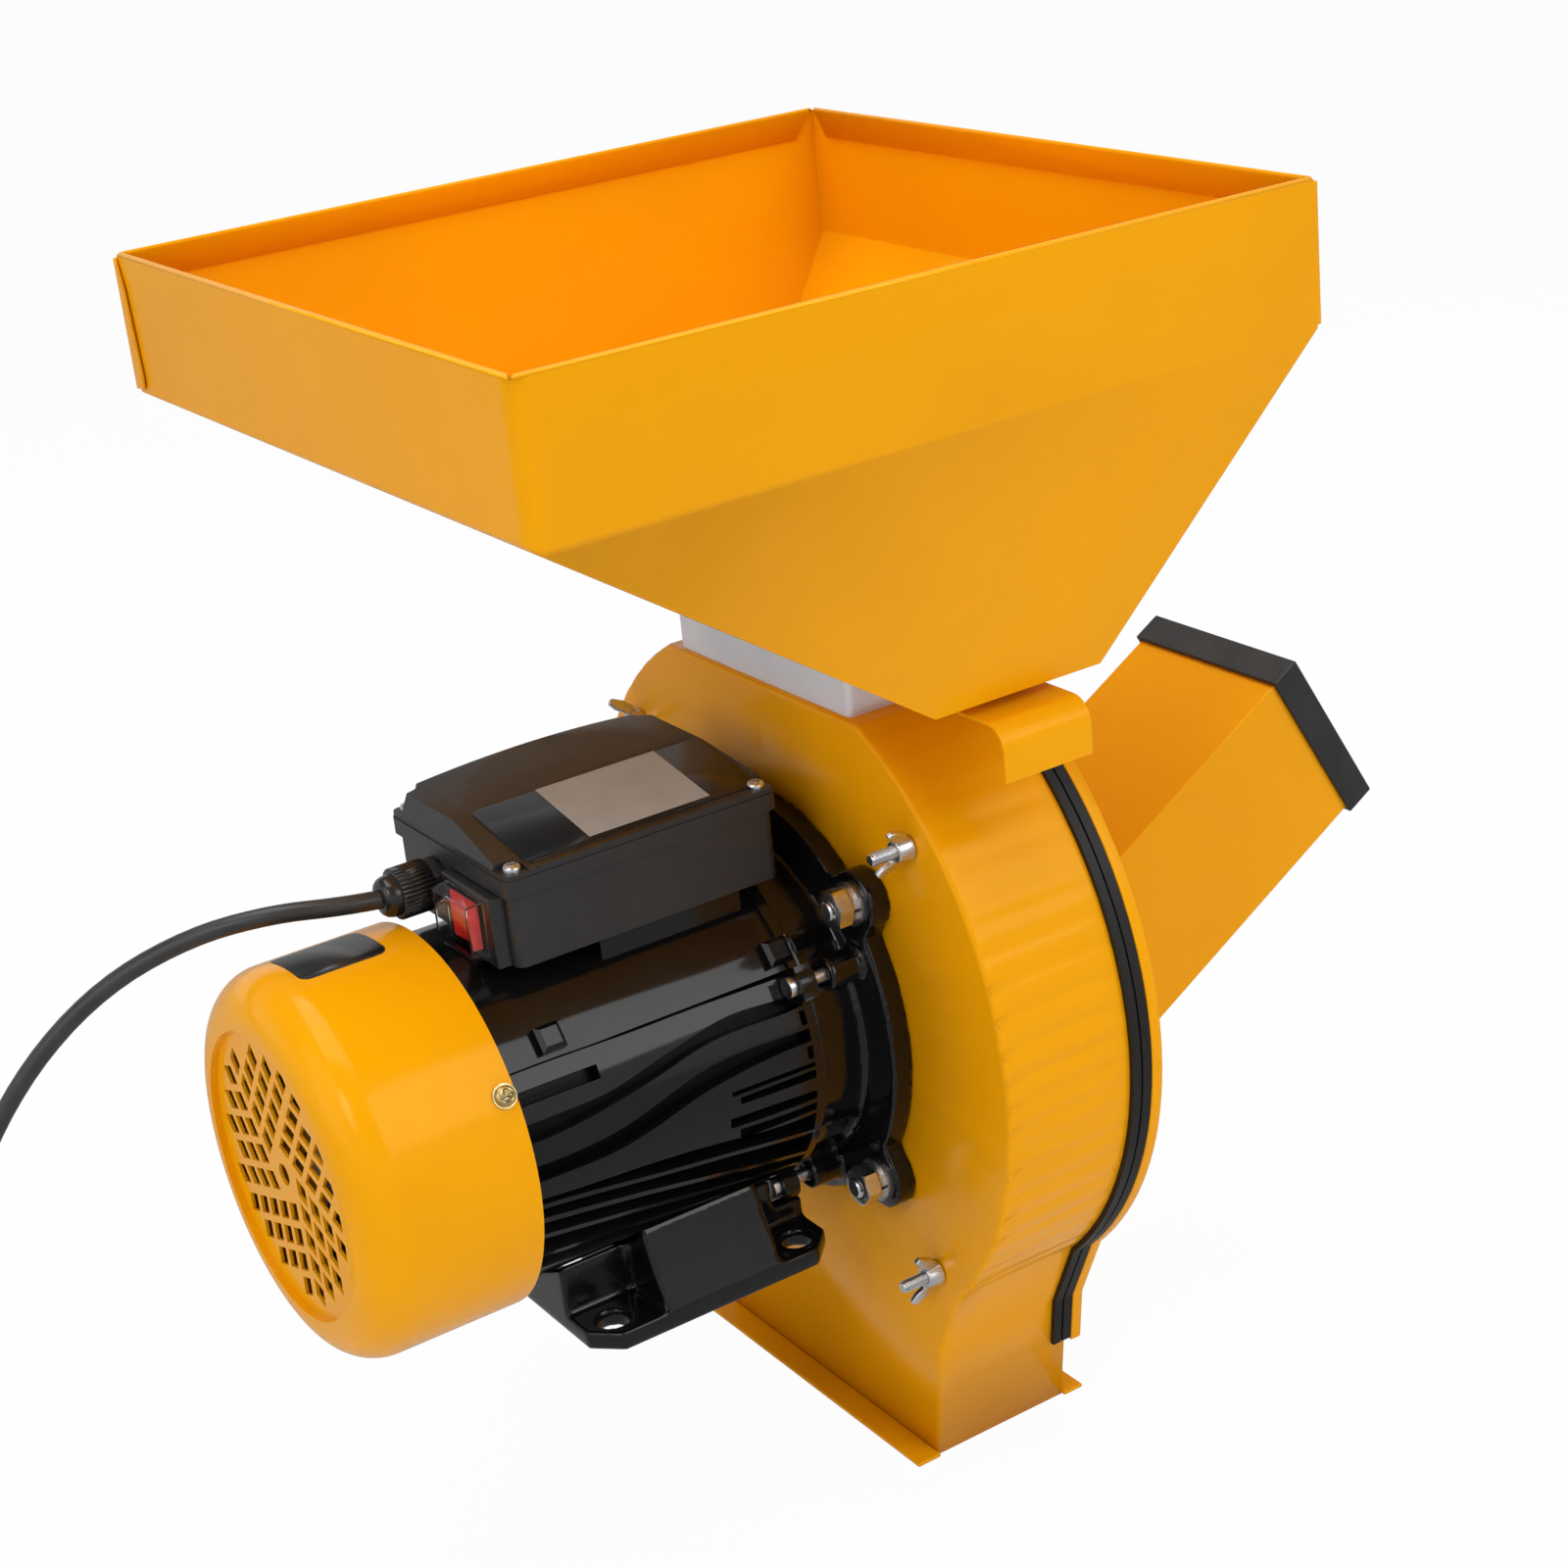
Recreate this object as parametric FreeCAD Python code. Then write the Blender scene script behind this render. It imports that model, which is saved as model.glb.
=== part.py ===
import FreeCAD, Part
import math
import os

V = FreeCAD.Vector
os.makedirs("parts", exist_ok=True)

# Electric grain mill: sheet steel hopper over a round grinding housing, with a flanged motor behind it.
# Origin: centre of the four foot holes, on the underside of the motor foot.
# X runs across the machine, Y along the shaft from the fan to the feed chute, Z up. All sizes in mm.

# Driving dimensions of the whole machine
SHAFT_Z = 104.0            # shaft height over the foot
BACK_Y = 99.0              # outer face of the housing's back plate
BASE_Z = -120.0            # underside of the housing's base flanges
SHEET = 2.0                # housing and cover sheet
GAP = 0.3                  # air between parts that move past each other
RUN = 0.05                 # radial play of a pin in its hole
HALF_ROOT = math.sqrt(0.5)

# Grinding housing
DRUM_R = 172.0
TOP_RISE = 153.0           # flat top above the shaft
HOUSING_DEPTH = 76.5
WAIST_ANGLE = 46.0         # below the shaft, where the round wall turns into the outlet duct
WAIST = (101.0, -58.0)     # half width and height where the duct's taper changes
FOOT_HALF = 91.5           # half width of the duct at the base
COVER_FOOT_Z = BASE_Z + 34.0
FLANGE_HALF = 94.0
FLANGE_OUT = 13.4
BACK_BORE_R = 45.0         # hole in the back plate for the bracket's spigot
INLET_X, INLET_Y = 35.0, 19.0      # half sizes of the grain inlet
INLET_MID_Y = BACK_Y + HOUSING_DEPTH / 2

# Neck block, gate and hopper
BLOCK_X, BLOCK_Y = 71.0, 35.0
BLOCK_TALL = 23.0
NECK_SCREW_R = 2.5
GATE_WIDE, GATE_THICK = 47.0, 1.5
GATE_TOP_Z = SHAFT_Z + TOP_RISE + 17.4
GATE_END_X = 168.0
GATE_BEND, GATE_DROP = 11.0, 14.0
HOPPER_SHEET = 1.5
RIM_X = 184.5
RIM_Y = (-100.0, 282.0)
RIM_Z = 474.8
COLLAR_Z = 410.6
OUTLET_X = 150.0
OUTLET_Y = (93.0, 183.0)
HEM_TALL = 14.0

# Seal, cover and side chute
SEAL_LIP = 2.6             # rubber outside the housing's wall
SEAL_INNER = 2.2           # rubber inside it
SEAL_BACK, SEAL_FRONT = 8.5, 2.0
COVER_Y = BACK_Y + HOUSING_DEPTH + 2.3
COVER_OUT = 3.0
COVER_RIM = 6.0
CHUTE_TILT = 30.0
CHUTE_WIDE, CHUTE_TALL = 102.0, 93.0
CHUTE_SHEET = 1.5
MOUTH_Y, MOUTH_Z = 381.2, 197.5    # middle of the mouth's upper edge
TRIM_DEEP, TRIM_THICK = 16.7, 2.5

# Wing nuts and their studs, M6
STUD_R = 3.0
STUDS = [(113.0, 105.0), (-113.0, 105.0), (106.0, -114.0), (-106.0, -114.0)]
STUD_OUT = 21.0
WING_TURNS = [62.0, 115.0, 75.0, 130.0]    # how far each wing nut happens to be turned

# Motor
FRAME_R = 76.0
SMOOTH_R = 82.0            # plain upper part of the frame
SMOOTH_ANGLE = 33.0        # where it ends, above the shaft's level
FIN_R, FIN_THICK = 84.0, 2.8
LUG_ANGLE = 39.0
LUG_Y = (-63.0, 54.5)
FRAME_Y = (-97.0, 62.0)
BORE_R = 62.0
BRACKET_R = 101.0
BRACKET_NECK_R = 80.3
BRACKET_THICK = 11.0
FLANGE_BOLTS = (79.7, 70.8)
FLANGE_BOLT_R = 5.0
BRACKET_SCREW_R = 88.0
BRACKET_SCREW_ANGLES = (27.5, -60.0)
BRACKET_BOSS_R = 8.0
FOOT_HOLES = (62.5, 50.0)
FOOT_HOLE_R = 7.5
FOOT_THICK = 9.0
FOOT_X = (40.0, 77.0)
FOOT_Y = 65.0
COWL_R = 90.5
COWL_SHEET = 1.6
COWL_Y = (-170.5, -89.0)
COWL_SHOULDER = 22.0
COWL_SCREW_Y = -94.5
COWL_SCREW_ANGLES = (28.0, 148.0, 268.0)
RECESS_R, RECESS_DEEP = 67.0, 3.4
GRILLE_FIELDS = 5
GRILLE_PITCH, CELL = 12.0, 8.6         # square to a cell's sides
SPOKE_OFF, SPOKE_WIDE = 10.7, 5.0      # the spokes between the fields pass beside the centre
CELLS = (5, 4, 3, 1)                   # in each column of a field
HUB_HOLE_R = 5.2
# The ribbed layer on each side of the frame. Every point is a place along the shaft with the upper and
# the lower angle there above the shaft's level.
SIDE_LAYER = [(-98, 32.5, -9.5), (-53, 32.5, -13.2), (-23, 32.0, -16.6), (8, 32.0, -19.8),
              (38, 31.5, -23.4), (63, 31.5, -25.8)]
SIDE_GROOVES = [[(-95, 27.2, 22.8), (-70, 27.2, 22.8), (-47, 27.0, 22.6)],
                [(-95, 17.2, 12.0), (-62, 17.4, 12.3), (-44, 18.0, 13.9), (-20, 21.4, 16.8),
                 (0, 24.1, 19.8), (18, 26.1, 21.0), (36, 25.8, 20.7), (58, 24.6, 21.0)],
                [(-95, 4.8, -0.8), (-64, 4.4, -1.0), (-45, 5.6, -0.5), (-20, 9.7, 3.1),
                 (0, 13.1, 6.5), (15, 14.2, 8.0), (36, 14.1, 9.2), (58, 13.5, 9.3)],
                [(13, 3.1, 1.6), (36, 2.8, 1.3), (58, 2.4, 0.9)],
                [(17, 0.4, -1.9), (38, 0.1, -2.6), (58, -0.2, -3.0)],
                [(11, -5.6, -9.0), (36, -6.6, -10.2), (58, -7.6, -10.7)],
                [(16, -10.6, -14.6), (36, -11.8, -15.0), (58, -12.2, -15.0)],
                [(-95, -5.8, -8.0), (-53, -8.6, -11.6), (-23, -10.2, -15.0), (8, -13.0, -18.2),
                 (38, -16.1, -21.8), (58, -16.4, -23.9)],
                [(54.6, 19.6, 14.9), (57.6, 19.6, 14.9)],
                [(54.6, 8.0, 3.8), (57.6, 8.0, 3.8)]]
SIDE_FINS = [[(-98, -13.5), (-57, -17.9), (-22, -22.6), (10, -27.9), (58, -36.5)],
             [(-98, -20.0), (-57, -25.0), (-22, -30.0), (10, -35.5), (58, -44.0)],
             [(-98, -30.0), (-20, -39.0), (58, -51.0)],
             [(-98, -42.0), (-20, -49.0), (58, -58.0)]]
LOWER_FINS = (-65, -80, -100, -115)

# Terminal box, gland and switch
BOX_X, BOX_Y = (-58.0, 52.0), (-66.5, 72.5)    # over the rim band
BOX_Z = (184.6, 226.0)
BAND_Z, BAND_OUT = 218.0, 2.0
BOX_WALL = 2.5
BOX_FACE_Y = BOX_Y[0] + BAND_OUT
LID_IN = 0.6               # how far the lid stands in from the band
LID_Z = 229.0              # top of the lid's flange
LID_TOP_Z = 239.0
LID_CREST_X = -4.2         # the lid slopes down from here to its near side
LID_SLOPE_END = (47.5, 229.5)
LID_FAR = (-49.0, 243.0)   # far upper edge, at the middle of the crown
LID_CROWN_R = 455.0
LID_SEAT_Z = 228.4         # under the lid screws' heads
LID_SCREWS = [(-51.5, -59.3), (-51.5, 65.3), (45.5, -59.3), (45.5, 65.3)]
PLATE_X, PLATE_Y = (-3.2, 43.2), (-19.2, 42.8)
GLAND = (-19.0, 205.6)
GLAND_TIP_Y = -94.3
GLAND_SLEEVE_R = 8.0
COLLAR_LONG, COLLAR_FLATS = 6.0, 21.0
CAP_R = 11.4
SWITCH = (20.5, 201.2)
BEZEL_X = (-1.0, 44.0)
BEZEL_Z = (184.9, 217.5)
BEZEL_THICK = 7.0
ROCKER_Y = BOX_FACE_Y - 3.0
HOOD_DEEP = 8.0
WELL_X, WELL_Z = 12.6, 10.8
ROCKER_TILT = 9.0
PIVOT_R, PIVOT_REACH = 1.5, 12.0

# Rotor
SHAFT_R = 10.0
BEAR_OUT, BEAR_WIDE = 23.5, 14.0
FRONT_BEAR_Y, REAR_BEAR_Y = 77.0, -107.0
BALL_RING_R, BALL_R, BALLS = 16.5, 3.4, 8
CORE_Y = (-52.0, 40.0)
CORE_R = 37.5
CORE_SHAFT_R = 14.0
FAN_Y, FAN_R, FAN_WIDE = -148.0, 72.0, 26.0
FAN_SEAT_R = 8.0
HUB_Y = (110.0, 128.0)
STACK_R = 18.0
THREAD_R = 6.0
SHAFT_END_Y = 166.0
SIEVE_R = 138.0
BEATER_R = 132.0
BAR_WIDE, BAR_THICK, BAR_SPACE = 26.0, 4.0, 4.0
BAR_TURN = 20.0

# Mains lead
CORD_D = 8.6
COIL_R = 54.0              # first and widest half turn
COIL_STEP = 9.2            # from one turn to the next, sideways and upwards
COIL_TURNS_IN = 4          # half turns laid inwards before the lead climbs
PLUG_R = 18.5
PLUG_LONG = 58.0
PLUG_RUN = 32.0            # over which the lead rises from the coil to the plug
PIN_R, PIN_APART = 2.4, 19.0
# Hand-chosen places of the free lead, from the gland to where it lies on the ground
CORD_ROUTE = [(-19.0, -94.3, 205.6), (-20.0, -111.4, 207.6), (-31, -139.8, 210.1), (-50, -172, 203.8),
              (-72, -208.2, 184.2), (-91, -241.9, 149.9), (-106, -269.5, 104.8), (-117, -291, 53),
              (-127, -308, -2), (-138, -324, -55), (-155, -342, -97), (-179, -363.6, -115.7),
              (-202, -384.3, -115.7)]


def box(x0, x1, y0, y1, z0, z1):
    """A block between two places along each axis."""
    return Part.makeBox(x1 - x0, y1 - y0, z1 - z0, V(x0, y0, z0))


def rod(x, z, y0, y1, r):
    """A round bar along Y, from y0 to y1."""
    return Part.makeCylinder(r, y1 - y0, V(x, y0, z), V(0, 1, 0))


def pipe(x, z, y0, y1, outer, inner):
    """A round tube along Y."""
    return rod(x, z, y0, y1, outer).cut(rod(x, z, y0 - 1, y1 + 1, inner))


def upright(x, y, z0, z1, r):
    """A round bar along Z, from z0 to z1."""
    return Part.makeCylinder(r, z1 - z0, V(x, y, z0))


def prism(points, reach):
    """A flat polygon drawn out along reach."""
    return Part.Face(Part.makePolygon(points + [points[0]])).extrude(reach)


def hexagon(x, z, y0, y1, flats, r_hole=0.0, turn=0.0):
    """A hexagon along Y, with a hole through it where one is given."""
    corner = flats / math.sqrt(3)
    pts = [V(x + corner * math.cos(math.radians(60 * k + turn)), y0,
             z + corner * math.sin(math.radians(60 * k + turn))) for k in range(6)]
    body = prism(pts, V(0, y1 - y0, 0))
    return body.cut(rod(x, z, y0 - 1, y1 + 1, r_hole)) if r_hole else body


def turned(profile, x=0.0, z=SHAFT_Z):
    """A body of revolution about Y from (y, radius) corners."""
    pts = [V(x + r, y, z) for y, r in profile]
    pts.append(pts[0])
    return Part.Face(Part.makePolygon(pts)).revolve(V(x, 0, z), V(0, 1, 0), 360)


def fuse(parts):
    """Joins solids that touch into one piece."""
    body = parts[0].multiFuse(parts[1:]) if len(parts) > 1 else parts[0]
    return body.removeSplitter()


def export(name, shape):
    """Writes one node and prints how many solids it holds and their volume."""
    solids = shape.Solids
    out = solids[0] if len(solids) == 1 else Part.makeCompound(solids)
    if not out.isValid():
        print("not valid:", name)
    out.exportStep("parts/" + name + ".step")
    print("%-18s %2d solids %10.0f mm3" % (name, len(solids), out.Volume))


def mirrored(shape, direction):
    """The shape's mirror image across the middle."""
    return shape.mirror(V(0, 0, 0), direction)


def outline(grow, floor_z):
    """The housing's outline in the XZ plane, grown outwards, closed flat at floor_z."""
    r = DRUM_R + grow
    top = TOP_RISE + grow
    flat = math.sqrt(r * r - top * top)
    a = math.radians(WAIST_ANGLE)
    waist = V(r * math.cos(a), 0, SHAFT_Z - r * math.sin(a))
    knee = V(WAIST[0] + grow, 0, WAIST[1])
    slope = (WAIST[0] - FOOT_HALF) / (WAIST[1] - BASE_Z)
    heel = V(knee.x - slope * (knee.z - floor_z), 0, floor_z)
    shoulder = V(flat, 0, SHAFT_Z + top)
    side = V(r, 0, SHAFT_Z)
    left = [V(-p.x, 0, p.z) for p in (shoulder, side, waist, knee, heel)]
    edges = [Part.LineSegment(left[0], shoulder), Part.Arc(shoulder, side, waist),
             Part.LineSegment(waist, knee), Part.LineSegment(knee, heel), Part.LineSegment(heel, left[4]),
             Part.LineSegment(left[4], left[3]), Part.LineSegment(left[3], left[2]),
             Part.Arc(left[2], left[1], left[0])]
    return Part.Face(Part.Wire([e.toShape() for e in edges]))


def slab(grow, floor_z, y0, y1):
    """The housing's outline as a block between two depths."""
    face = outline(grow, floor_z)
    face.translate(V(0, y0, 0))
    return face.extrude(V(0, y1 - y0, 0))


def make_housing():
    """Welded sheet drum: back plate, round wall with a flat top, outlet duct and two base flanges."""
    front = BACK_Y + HOUSING_DEPTH
    shell = slab(0, BASE_Z, BACK_Y, front).cut(slab(-SHEET, BASE_Z - 5, BACK_Y + SHEET, front + 5))
    duct_front = slab(0, BASE_Z, front - SHEET, front).common(
        box(-200, 200, front - SHEET, front, BASE_Z, COVER_FOOT_Z))
    flanges = [box(-FLANGE_HALF, FLANGE_HALF, BACK_Y - FLANGE_OUT, BACK_Y, BASE_Z, BASE_Z + SHEET),
               box(-FLANGE_HALF, FLANGE_HALF, front, front + FLANGE_OUT - 2, BASE_Z, BASE_Z + SHEET)]
    shell = fuse([shell, duct_front] + flanges)
    mouth = box(-FOOT_HALF + SHEET, FOOT_HALF - SHEET, BACK_Y + SHEET, front - SHEET, BASE_Z - 5, BASE_Z + 5)
    inlet = box(-INLET_X, INLET_X, INLET_MID_Y - INLET_Y, INLET_MID_Y + INLET_Y,
                SHAFT_Z + TOP_RISE - 10, SHAFT_Z + TOP_RISE + 10)
    shell = shell.cut(mouth).cut(inlet)
    shell = shell.cut(rod(0, SHAFT_Z, BACK_Y - 5, BACK_Y + 5, BACK_BORE_R))
    for x, z in STUDS:
        shell = shell.cut(rod(x, SHAFT_Z + z, BACK_Y - 5, BACK_Y + 5, STUD_R + RUN))
    for x, z in four(*FLANGE_BOLTS):
        shell = shell.cut(rod(x, SHAFT_Z + z, BACK_Y - 5, BACK_Y + 5, FLANGE_BOLT_R))
    for x, y in neck_screws():
        shell = shell.cut(upright(x, y, SHAFT_Z + TOP_RISE - 5, SHAFT_Z + TOP_RISE + 5, NECK_SCREW_R))
    return shell


def four(x, z):
    """A place and its mirror images in both directions."""
    return [(x, z), (-x, z), (x, -z), (-x, -z)]


def neck_screws():
    """Places of the four screws that hold hopper, neck block and housing together."""
    return [(sx * (BLOCK_X - 11), INLET_MID_Y + sy * (BLOCK_Y - 5.5)) for sx in (-1, 1) for sy in (-1, 1)]


def make_seal():
    """Rubber channel over the housing's front edge, grooved outside and let in round the neck block."""
    front = BACK_Y + HOUSING_DEPTH
    y0, y1 = front - SEAL_BACK, front + SEAL_FRONT
    foot = COVER_FOOT_Z
    inner_grow = -SHEET - SEAL_INNER
    outer = slab(SEAL_LIP, foot, y0, y1).cut(slab(inner_grow, foot - 10, y0 - 1, y1 + 1))
    groove = slab(SEAL_LIP + 5, foot - 5, front - 4.0, front - 3.0).cut(
        slab(SEAL_LIP - 1.2, foot - 10, front - 5, front - 2))
    slot = slab(0, foot - 20, y0 - 1, front).cut(slab(-SHEET, foot - 30, y0 - 2, front + 1))
    body = outer.cut(groove).cut(slot)
    top = SHAFT_Z + TOP_RISE
    neck_x, neck_y = BLOCK_X + GAP, INLET_MID_Y + BLOCK_Y + GAP
    neck = box(-neck_x, neck_x, y0 - 1, neck_y, top + inner_grow - 2, top + 10)
    return body.cut(neck).cut(box(-200, 200, y0 - 1, y1 + 1, foot - 30, foot + 2.0))


def make_sieve():
    """Perforated grinding screen: a ring of sheet, open at the top under the inlet."""
    y0, y1 = BACK_Y + SHEET + 0.2, BACK_Y + HOUSING_DEPTH - 2.0
    ring = pipe(0, SHAFT_Z, y0, y1, SIEVE_R + 1.2, SIEVE_R)
    ring = ring.cut(box(-52, 52, y0 - 1, y1 + 1, SHAFT_Z + 60, SHAFT_Z + 200))
    rows, columns = 3, 30
    first, last = -205.0, 25.0
    holes = []
    for row in range(rows):
        for col in range(columns):
            angle = math.radians(first + (last - first) * (col + 0.5 * (row % 2)) / columns)
            y = y0 + (row + 1) * (y1 - y0) / (rows + 1)
            out = V(math.cos(angle), 0, math.sin(angle))
            holes.append(Part.makeCylinder(2.5, 12, V(0, y, SHAFT_Z) + out * (SIEVE_R - 6), out))
    return ring.cut(Part.makeCompound(holes))


def make_neck_block():
    """White plastic spacer between housing and hopper, slotted for the gate."""
    z0 = SHAFT_Z + TOP_RISE
    block = box(-BLOCK_X, BLOCK_X, INLET_MID_Y - BLOCK_Y, INLET_MID_Y + BLOCK_Y, z0, z0 + BLOCK_TALL)
    block = block.makeFillet(3.0, [e for e in block.Edges if abs(e.BoundBox.ZLength - BLOCK_TALL) < 0.01])
    throat = box(-INLET_X, INLET_X, INLET_MID_Y - INLET_Y, INLET_MID_Y + INLET_Y, z0 - 5, z0 + 50)
    slot_half = GATE_WIDE / 2 + GAP
    slot = box(-INLET_X - 14, BLOCK_X + 5, INLET_MID_Y - slot_half, INLET_MID_Y + slot_half,
               GATE_TOP_Z - GATE_THICK - GAP, GATE_TOP_Z + GAP)
    block = block.cut(throat).cut(slot)
    for x, y in neck_screws():
        block = block.cut(upright(x, y, z0 - 5, z0 + 50, NECK_SCREW_R))
    return block


def make_gate():
    """Steel slide plate that shuts the inlet, bent down at its pull end."""
    y0 = INLET_MID_Y - GATE_WIDE / 2
    x1, z1 = GATE_END_X, GATE_TOP_Z
    c = V(x1 - GATE_BEND, y0, z1 - GATE_BEND)
    start = -INLET_X - 10
    low = c.z - GATE_DROP
    inner_x, inner_z = x1 - GATE_THICK, z1 - GATE_THICK
    outer_mid = c + V(1, 0, 1) * GATE_BEND * HALF_ROOT
    inner_mid = c + V(1, 0, 1) * (GATE_BEND - GATE_THICK) * HALF_ROOT
    edges = [Part.LineSegment(V(start, y0, z1), V(c.x, y0, z1)),
             Part.Arc(V(c.x, y0, z1), outer_mid, V(x1, y0, c.z)),
             Part.LineSegment(V(x1, y0, c.z), V(x1, y0, low)),
             Part.LineSegment(V(x1, y0, low), V(inner_x, y0, low)),
             Part.LineSegment(V(inner_x, y0, low), V(inner_x, y0, c.z)),
             Part.Arc(V(inner_x, y0, c.z), inner_mid, V(c.x, y0, inner_z)),
             Part.LineSegment(V(c.x, y0, inner_z), V(start, y0, inner_z)),
             Part.LineSegment(V(start, y0, inner_z), V(start, y0, z1))]
    face = Part.Face(Part.Wire([e.toShape() for e in edges]))
    return face.extrude(V(0, GATE_WIDE, 0))


def rectangle(hx, y0, y1, z):
    """A level rectangle of edges, hx to each side of the middle."""
    return Part.makePolygon([V(-hx, y0, z), V(hx, y0, z), V(hx, y1, z), V(-hx, y1, z), V(-hx, y0, z)])


def make_hopper():
    """Folded sheet hopper: upright collar with a hemmed rim, sloped funnel and a flat bottom plate."""
    t = HOPPER_SHEET
    z0 = SHAFT_Z + TOP_RISE + BLOCK_TALL
    y0, y1 = RIM_Y
    o0, o1 = OUTLET_Y
    funnel = Part.makeLoft([rectangle(OUTLET_X, o0, o1, z0), rectangle(RIM_X, y0, y1, COLLAR_Z)], True, True)
    outer = fuse([box(-RIM_X, RIM_X, y0, y1, COLLAR_Z, RIM_Z), funnel])
    slant = 2 * t
    inner_top = box(-RIM_X + t, RIM_X - t, y0 + t, y1 - t, COLLAR_Z, RIM_Z + 5)
    inner_low = Part.makeLoft([rectangle(OUTLET_X - t, o0 + slant, o1 - slant, z0 + t),
                               rectangle(RIM_X - t, y0 + t, y1 - t, COLLAR_Z)], True, True)
    hem = box(-RIM_X, RIM_X, y0, y1, RIM_Z - HEM_TALL, RIM_Z).cut(
        box(-RIM_X + 2 * t, RIM_X - 2 * t, y0 + 2 * t, y1 - 2 * t, RIM_Z - 20, RIM_Z + 5))
    body = fuse([outer.cut(inner_top).cut(inner_low), hem])
    body = body.cut(box(-INLET_X, INLET_X, INLET_MID_Y - INLET_Y, INLET_MID_Y + INLET_Y, z0 - 5, z0 + 5))
    for x, y in neck_screws():
        body = body.cut(upright(x, y, z0 - 5, z0 + 5, NECK_SCREW_R))
    return body


def make_neck_screws():
    """Four long pan-head screws from inside the hopper down into the housing."""
    low = SHAFT_Z + TOP_RISE - SHEET - 9
    seat = SHAFT_Z + TOP_RISE + BLOCK_TALL + HOPPER_SHEET
    screws = [fuse([upright(x, y, low, seat, NECK_SCREW_R), upright(x, y, seat, seat + 3, 4.6)])
              for x, y in neck_screws()]
    return Part.makeCompound(screws)


def make_neck_nuts():
    """Nuts of the neck screws, inside the housing."""
    top, flats, tall = SHAFT_Z + TOP_RISE - SHEET, 8.0, 4.0
    nuts = []
    for x, y in neck_screws():
        nut = hexagon(0, 0, 0, tall, flats, NECK_SCREW_R)
        nut.rotate(V(0, 0, 0), V(1, 0, 0), 90)
        nut.translate(V(x, y, top - tall))
        nuts.append(nut)
    return Part.makeCompound(nuts)


def chute_point(along, down):
    """A point in the chute's middle plane: along its axis from the mouth, and down from its upper wall."""
    a = math.radians(CHUTE_TILT)
    return V(0, MOUTH_Y + along * math.cos(a) + down * math.sin(a),
             MOUTH_Z + along * math.sin(a) - down * math.cos(a))


def chute_prism(half, top, bottom, along, back_y):
    """The chute's box between two depths below its upper wall, from a plane of constant Y to the mouth."""
    t = math.tan(math.radians(CHUTE_TILT))
    upper, lower = chute_point(along, top), chute_point(along, bottom)
    pts = [upper, lower, V(0, back_y, lower.z - (lower.y - back_y) * t),
           V(0, back_y, upper.z - (upper.y - back_y) * t)]
    return prism([p - V(half, 0, 0) for p in pts], V(2 * half, 0, 0))


def make_cover():
    """Flat front cover with a forward rim and the chute's opening."""
    y0, y1 = COVER_Y, COVER_Y + COVER_RIM
    body = slab(COVER_OUT, COVER_FOOT_Z, y0, y1).cut(
        slab(COVER_OUT - SHEET, COVER_FOOT_Z - 20, y0 + SHEET, y1 + 1))
    w = CHUTE_SHEET
    opening = chute_prism(CHUTE_WIDE / 2 - w, w, CHUTE_TALL - w, -100, COVER_Y - 5)
    return body.cut(opening.common(box(-200, 200, COVER_Y - 5, COVER_Y + SHEET, -200, 300)))


def make_chute():
    """Square tube welded to the cover, rising away from the machine."""
    w = CHUTE_SHEET
    outer = chute_prism(CHUTE_WIDE / 2, 0, CHUTE_TALL, 0, COVER_Y + SHEET)
    return outer.cut(chute_prism(CHUTE_WIDE / 2 - w, w, CHUTE_TALL - w, 10, COVER_Y - 20))


def mouth_ring(half_out, top_out, half_in, top_in, start, end):
    """A rectangular ring round the chute between two distances from its mouth."""
    def block(half, over, a0, a1):
        pts = [chute_point(a0, -over), chute_point(a1, -over),
               chute_point(a1, CHUTE_TALL + over), chute_point(a0, CHUTE_TALL + over)]
        return prism([p - V(half, 0, 0) for p in pts], V(2 * half, 0, 0))
    return block(half_out, top_out, start, end).cut(block(half_in, top_in, start - 5, end + 5))


def make_trim():
    """Black rubber channel pressed over the chute's mouth."""
    half, t, w = CHUTE_WIDE / 2, TRIM_THICK, CHUTE_SHEET
    inner = w + 2.0
    outside = mouth_ring(half + t, t, half, 0, -TRIM_DEEP + t, t)
    inside = mouth_ring(half - w, -w, half - inner, -inner, -TRIM_DEEP + t, t)
    lip = mouth_ring(half + t, t, half - inner, -inner, 0, t)
    return fuse([outside, inside, lip])


def make_studs():
    """Long studs welded to the cover; they run through the housing and carry the wing nuts."""
    return Part.makeCompound([rod(x, SHAFT_Z + z, BACK_Y - STUD_OUT, COVER_Y, STUD_R) for x, z in STUDS])


def make_wing_nut(x, z, turn):
    """Wing nut with two ears, seated on the back plate and threaded on its stud."""
    y = BACK_Y - GAP
    boss = turned([(y, STUD_R + RUN), (y, 6.5), (y - 8, 5.0), (y - 8, STUD_R + RUN)], x, z)
    ears = []
    for side in (1, -1):
        pts = [(4.2, 0.8), (8.5, 2.5), (12.0, 6.5), (14.6, 12.5),
               (12.4, 14.6), (8.6, 12.0), (6.0, 8.0), (4.2, 7.6)]
        curve = Part.BSplineCurve()
        curve.interpolate([V(x + side * r, y - h, z) for r, h in pts], PeriodicFlag=True)
        face = Part.Face(Part.Wire([curve.toShape()]))
        face.translate(V(0, 0, -1.5))
        ears.append(face.extrude(V(0, 0, 3.0)))
    nut = fuse([boss] + ears).cut(rod(x, z, y - 30, y + 1, STUD_R + RUN))
    nut.rotate(V(x, 0, z), V(0, 1, 0), -turn)
    return nut


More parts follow.
